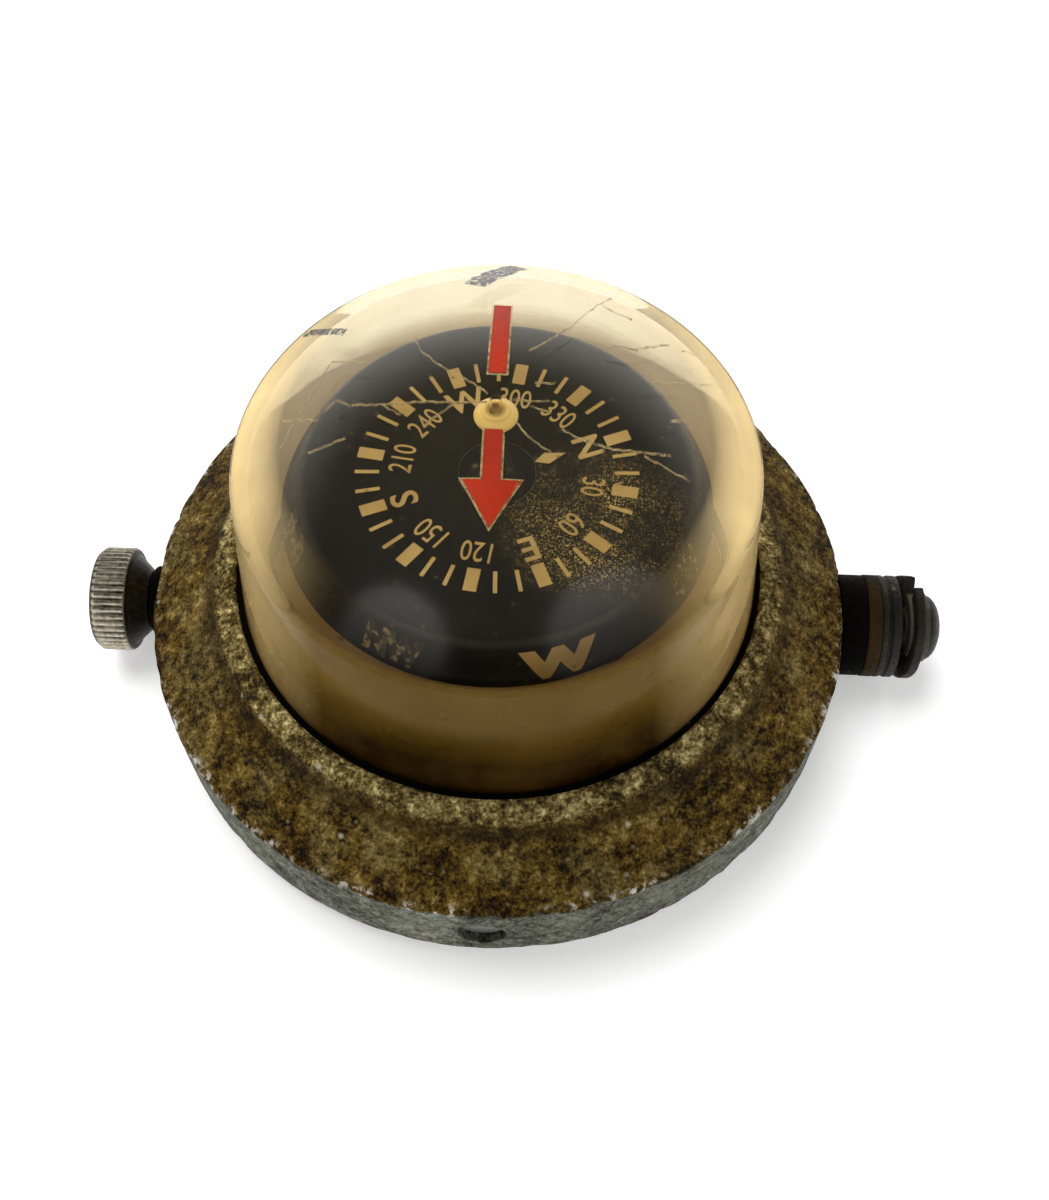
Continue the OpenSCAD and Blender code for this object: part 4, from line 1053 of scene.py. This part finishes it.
def makeKnob():
    # built up +Z from the washer's face, then turned to point out along -X
    rim0 = knob["hubLength"]
    rim1 = rim0 + knob["width"]
    r = knob["radius"]
    shank = knobHigh.x - (knobLow.x + rim1)
    count = knob["ridges"] * 8
    outline = [(0, -shank), (knob["thread"], -shank), (knob["thread"], 0), (knob["hub"], 0),
               (knob["hub"] + 0.3 * mm, 0.5 * mm), (r - 1.5 * mm, rim0 - 0.5 * mm),
               (r - 1.2 * mm, rim0 - 0.1 * mm),
               (r - 0.35 * mm, rim0), (r, rim0 + 0.45 * mm),
               (r, rim1 - 0.9 * mm), (r - 0.8 * mm, rim1), (r - 2 * mm, rim1),
               (r - 2.4 * mm, rim1 - 0.5 * mm),
               (0, rim1 - 0.5 * mm)]
    points = softened(outline, 0.15 * mm, 2, False)
    bm = spun(dense(points, 1.0 * mm, False), count, False)
    for v in bm.verts:
        across = math.hypot(v.co.x, v.co.y)
        if across > r - 0.5 * mm and rim0 < v.co.z < rim1:
            angle = math.atan2(v.co.y, v.co.x)
            wave = abs(math.sin(angle * knob["ridges"] / 2))
            worn = 0.85 + 0.9 * noise.noise(v.co * 300)
            fade = min(1, (v.co.z - rim0) / (0.3 * mm), (rim1 - v.co.z) / (0.6 * mm))
            sink = knob["ridgeDepth"] * (1 - wave) * worn * fade
            scale = (across - sink) / across
            v.co.x *= scale
            v.co.y *= scale
    bmesh.ops.recalc_face_normals(bm, faces=bm.faces)
    alongX(bm, knobLow.x + rim1, -1)
    piece = keepMesh(bm, "knurledKnob")
    smoothEdges(piece, 35)
    return settle(piece, knobMetal(), "thumbscrew", "knob_metal", "thumbscrew")


# ---- sprung clip, screw end and scuffs ----
clip = {"inner": 5.95 * mm, "outer": 8.7 * mm, "thick": 1.45 * mm, "start": 40, "sweep": 333,
        # turn from the upper end, distance out from the steel washer's face
        "bow": [(40, 3.7 * mm), (100, 3.7 * mm), (140, 3.4 * mm), (178, 2.7 * mm), (215, 2.0 * mm),
                (260, 1.7 * mm), (320, 1.7 * mm), (345, 1.9 * mm), (374, 3.0 * mm)]}


def makeClip():
    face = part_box("spring_washer")[0].x
    section = [(clip["inner"], -clip["thick"] / 2), (clip["outer"], -clip["thick"] / 2),
               (clip["outer"], clip["thick"] / 2), (clip["inner"], clip["thick"] / 2)]
    bm = bmesh.new()
    corners = [bm.verts.new((r, 0, z)) for r, z in softened(section, 0.25 * mm)]
    end = bm.faces.new(corners)
    bmesh.ops.spin(bm, geom=[end], cent=(0, 0, 0), axis=(0, 0, 1), dvec=(0, 0, 0),
                   angle=math.radians(clip["sweep"]), steps=110, use_merge=False, use_duplicate=False)
    bmesh.ops.recalc_face_normals(bm, faces=bm.faces)
    up = Vector((0, 0.846, 0.532))
    near = Vector((0, -0.532, 0.846))
    for v in bm.verts:
        turn = math.degrees(math.atan2(v.co.y, v.co.x)) % 360
        if turn > clip["sweep"] + 5:
            turn = 0
        turn += clip["start"]
        radius = math.hypot(v.co.x, v.co.y)
        bow = clip["bow"]
        for (a, out0), (b, out1) in zip(bow, bow[1:]):
            if a <= turn <= b:
                t = (turn - a) / (b - a)
                out = out0 + (out1 - out0) * t * t * (3 - 2 * t)
        heavy = max(0, (turn - 330) / 43, 1 - abs(turn - 178) / 34)
        v.co.z *= 1 + 0.3 * heavy
        radius = clip["outer"] - (clip["outer"] - radius) * (1 + 0.65 * heavy)
        spot = (up * math.cos(math.radians(turn)) + near * math.sin(math.radians(turn))) * radius
        v.co = Vector((face + out - 0.6 * mm + v.co.z, spot.y, pivotHeight + spot.z))
    bmesh.ops.recalc_face_normals(bm, faces=bm.faces)
    piece = keepMesh(bm, "springClip", 35)
    return settle(piece, finishes["dark_steel"], "housing", "dark_steel", "spring_washer")


screwEnd = {"radius": 5.8 * mm, "band": 3.3 * mm, "thread": 3.1 * mm, "slot": 1.1 * mm,
            "slotDepth": 1.0 * mm, "rise": 2.6 * mm}


def makeScrewEnd():
    # shank, worn band and a rounded dark end, pointing out along +X
    low, high = screwLow.x, screwHigh.x
    band = high - screwEnd["band"] - screwEnd["rise"] - low
    r, t = screwEnd["radius"], screwEnd["thread"]
    outline = [(0, 0), (t - 0.3 * mm, 0), (t, 0.4 * mm), (t, band), (r, band), (r, band + screwEnd["band"]),
               (r - 0.25 * mm, band + screwEnd["band"])]
    for k in range(9):
        a = math.pi / 2 * k / 8
        height = band + screwEnd["band"] + screwEnd["rise"] * math.sin(a)
        outline.append(((r - 0.3 * mm) * math.cos(a), height))
    bm = spun(dense(softened(outline, 0.15 * mm, 2, False), 0.8 * mm, False), 96, False)
    for v in bm.verts:
        if v.co.z > band:
            v.co -= Vector((v.co.x, v.co.y, 0)) * 0.03 * max(0, noise.noise(v.co * 420))
    alongX(bm, low, 1)
    piece = keepMesh(bm, "pivotScrewHead")
    slot = bmesh.new()
    place = Matrix.Translation((high, 0, pivotHeight)) @ Matrix.Rotation(0.5, 4, "X")
    size = (2 * screwEnd["slotDepth"], 14 * mm, screwEnd["slot"], 1)
    bmesh.ops.create_cube(slot, size=1, matrix=place @ Matrix.Diagonal(size))
    subtract(piece, slot)
    smoothEdges(piece, 35)
    settle(piece, finishes["screw_end"], "housing", "dark_steel", "pivot_screw")
    piece.data.materials.append(finishes["screw_band"])
    edge = high - screwEnd["rise"]
    for face in piece.data.polygons:
        if edge - screwEnd["band"] - 0.1 * mm < face.center.x < edge + 0.05 * mm:
            face.material_index = 1


# dark scuffs on the crown's rim, runs in millimetres with a width each
scuffs = [([(-30.6, 22.0), (-29.0, 21.3), (-27.5, 20.3), (-25.5, 19.2), (-23.6, 18.1)], 0.8),
          ([(-4.7, 27.4), (-3.8, 29.4), (-2.4, 31.6), (-1.1, 33.4), (0.5, 35.2), (1.8, 36.6)], 1.7),
          ([(-3.4, 27.9), (-2.2, 30.2), (-0.6, 32.3), (0.8, 33.8)], 1.2)]


def scuffBlack():
    mat, tree, shader = newMaterial("scuffBlack")
    texture = useGroup(tree, grain, Scale=1300.0)
    colour = blendColours(tree, texture.outputs["Coarse"], (0.004, 0.003, 0.0015), (0.03, 0.02, 0.01))
    feed(shader, "Base Color", colour)
    feed(shader, "Alpha", ramp(tree, texture.outputs["Fine"], 0.43, 0.50, 0.0, 1.0))
    feed(shader, "Specular IOR Level", 0.04)
    feed(shader, "Roughness", 0.8)
    return mat


def makeScuffs():
    bm = bmesh.new()
    for run, wide in scuffs:
        for (x0, y0), (x1, y1) in zip(run, run[1:]):
            reach = math.hypot(x1 - x0, y1 - y0) * mm
            place = Matrix.Translation(((x0 + x1) / 2 * mm, (y0 + y1) / 2 * mm, 0))
            place = place @ Matrix.Rotation(math.atan2(y1 - y0, x1 - x0), 4, "Z")
            bmesh.ops.create_grid(bm, x_segments=8, y_segments=4, size=0.5,
                                  matrix=place @ Matrix.Diagonal((reach * 1.05, 2 * wide * mm, 1, 1)))
    for v in bm.verts:
        ragged = noise.noise(v.co * 900) * 0.35 * mm
        v.co.x, v.co.y = v.co.x + ragged, v.co.y - ragged
        v.co.z = crownHeight(v.co.x, v.co.y, 0.12 * mm)
    bmesh.ops.solidify(bm, geom=bm.faces[:], thickness=0.03 * mm)
    bmesh.ops.recalc_face_normals(bm, faces=bm.faces)
    return settle(keepMesh(bm, "crownScuffs"), scuffBlack(), "housing", "clear_acrylic")


# ---- small turned and cut pieces: a softened copy of the CAD shape ----
def softCopy(node, name, width):
    source = cadNodes[node]
    bm = bmesh.new()
    bm.from_mesh(source.data)
    bmesh.ops.remove_doubles(bm, verts=bm.verts, dist=2e-6)
    bmesh.ops.dissolve_limit(bm, angle_limit=math.radians(1), verts=bm.verts, edges=bm.edges)
    piece = keepMesh(bm, name)
    bevel = piece.modifiers.new("soft", "BEVEL")
    bevel.width, bevel.segments = width, 2
    bevel.limit_method, bevel.angle_limit = "ANGLE", math.radians(35)
    mesh = finalMesh(piece)
    piece.modifiers.clear()
    piece.data = mesh
    smoothEdges(piece, 35)
    body = source["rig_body"]
    slot = [s["material_slot"] for s in frame["record"]["subparts"] if s["node"] == node][0]
    return settle(piece, finishes[slot], body, slot, node)


finishes = {name: plainFinish(name, look) for name, look in looks.items()}
finishes["jewel"] = jewelRed()
printInk = finishes["card_print"]
print("materials made")

addStudio()
makeRing()
makeDome()
makeCracks()
makeArrowEdge()
makeBead()
makeHaze()
makeCard()
makeMarks()
makeKnob()
for node, name, width in (("pivot_bush", "rubberBush", 0.4 * mm), ("fibre_washer", "fibreWasher", 0.3 * mm),
                          ("steel_washer", "steelWasher", 0.25 * mm),
                          ("thumb_washer", "thumbWasher", 0.3 * mm)):
    softCopy(node, name, width)
makeClip()
makeScrewEnd()
makeScuffs()
for entry in frame["record"]["subparts"]:
    piece = cadNodes[entry["node"]]
    if entry["material_slot"] in finishes:
        piece.data.materials.clear()
        piece.data.materials.append(finishes[entry["material_slot"]])
# painted shade: the compensator heads, sunk in their bores, get the dark grey sunk_head finish
for node in ("compensator_shaft_ns", "compensator_shaft_ew"):
    cadNodes[node].data.materials[0] = finishes["sunk_head"]
print("finishes set")
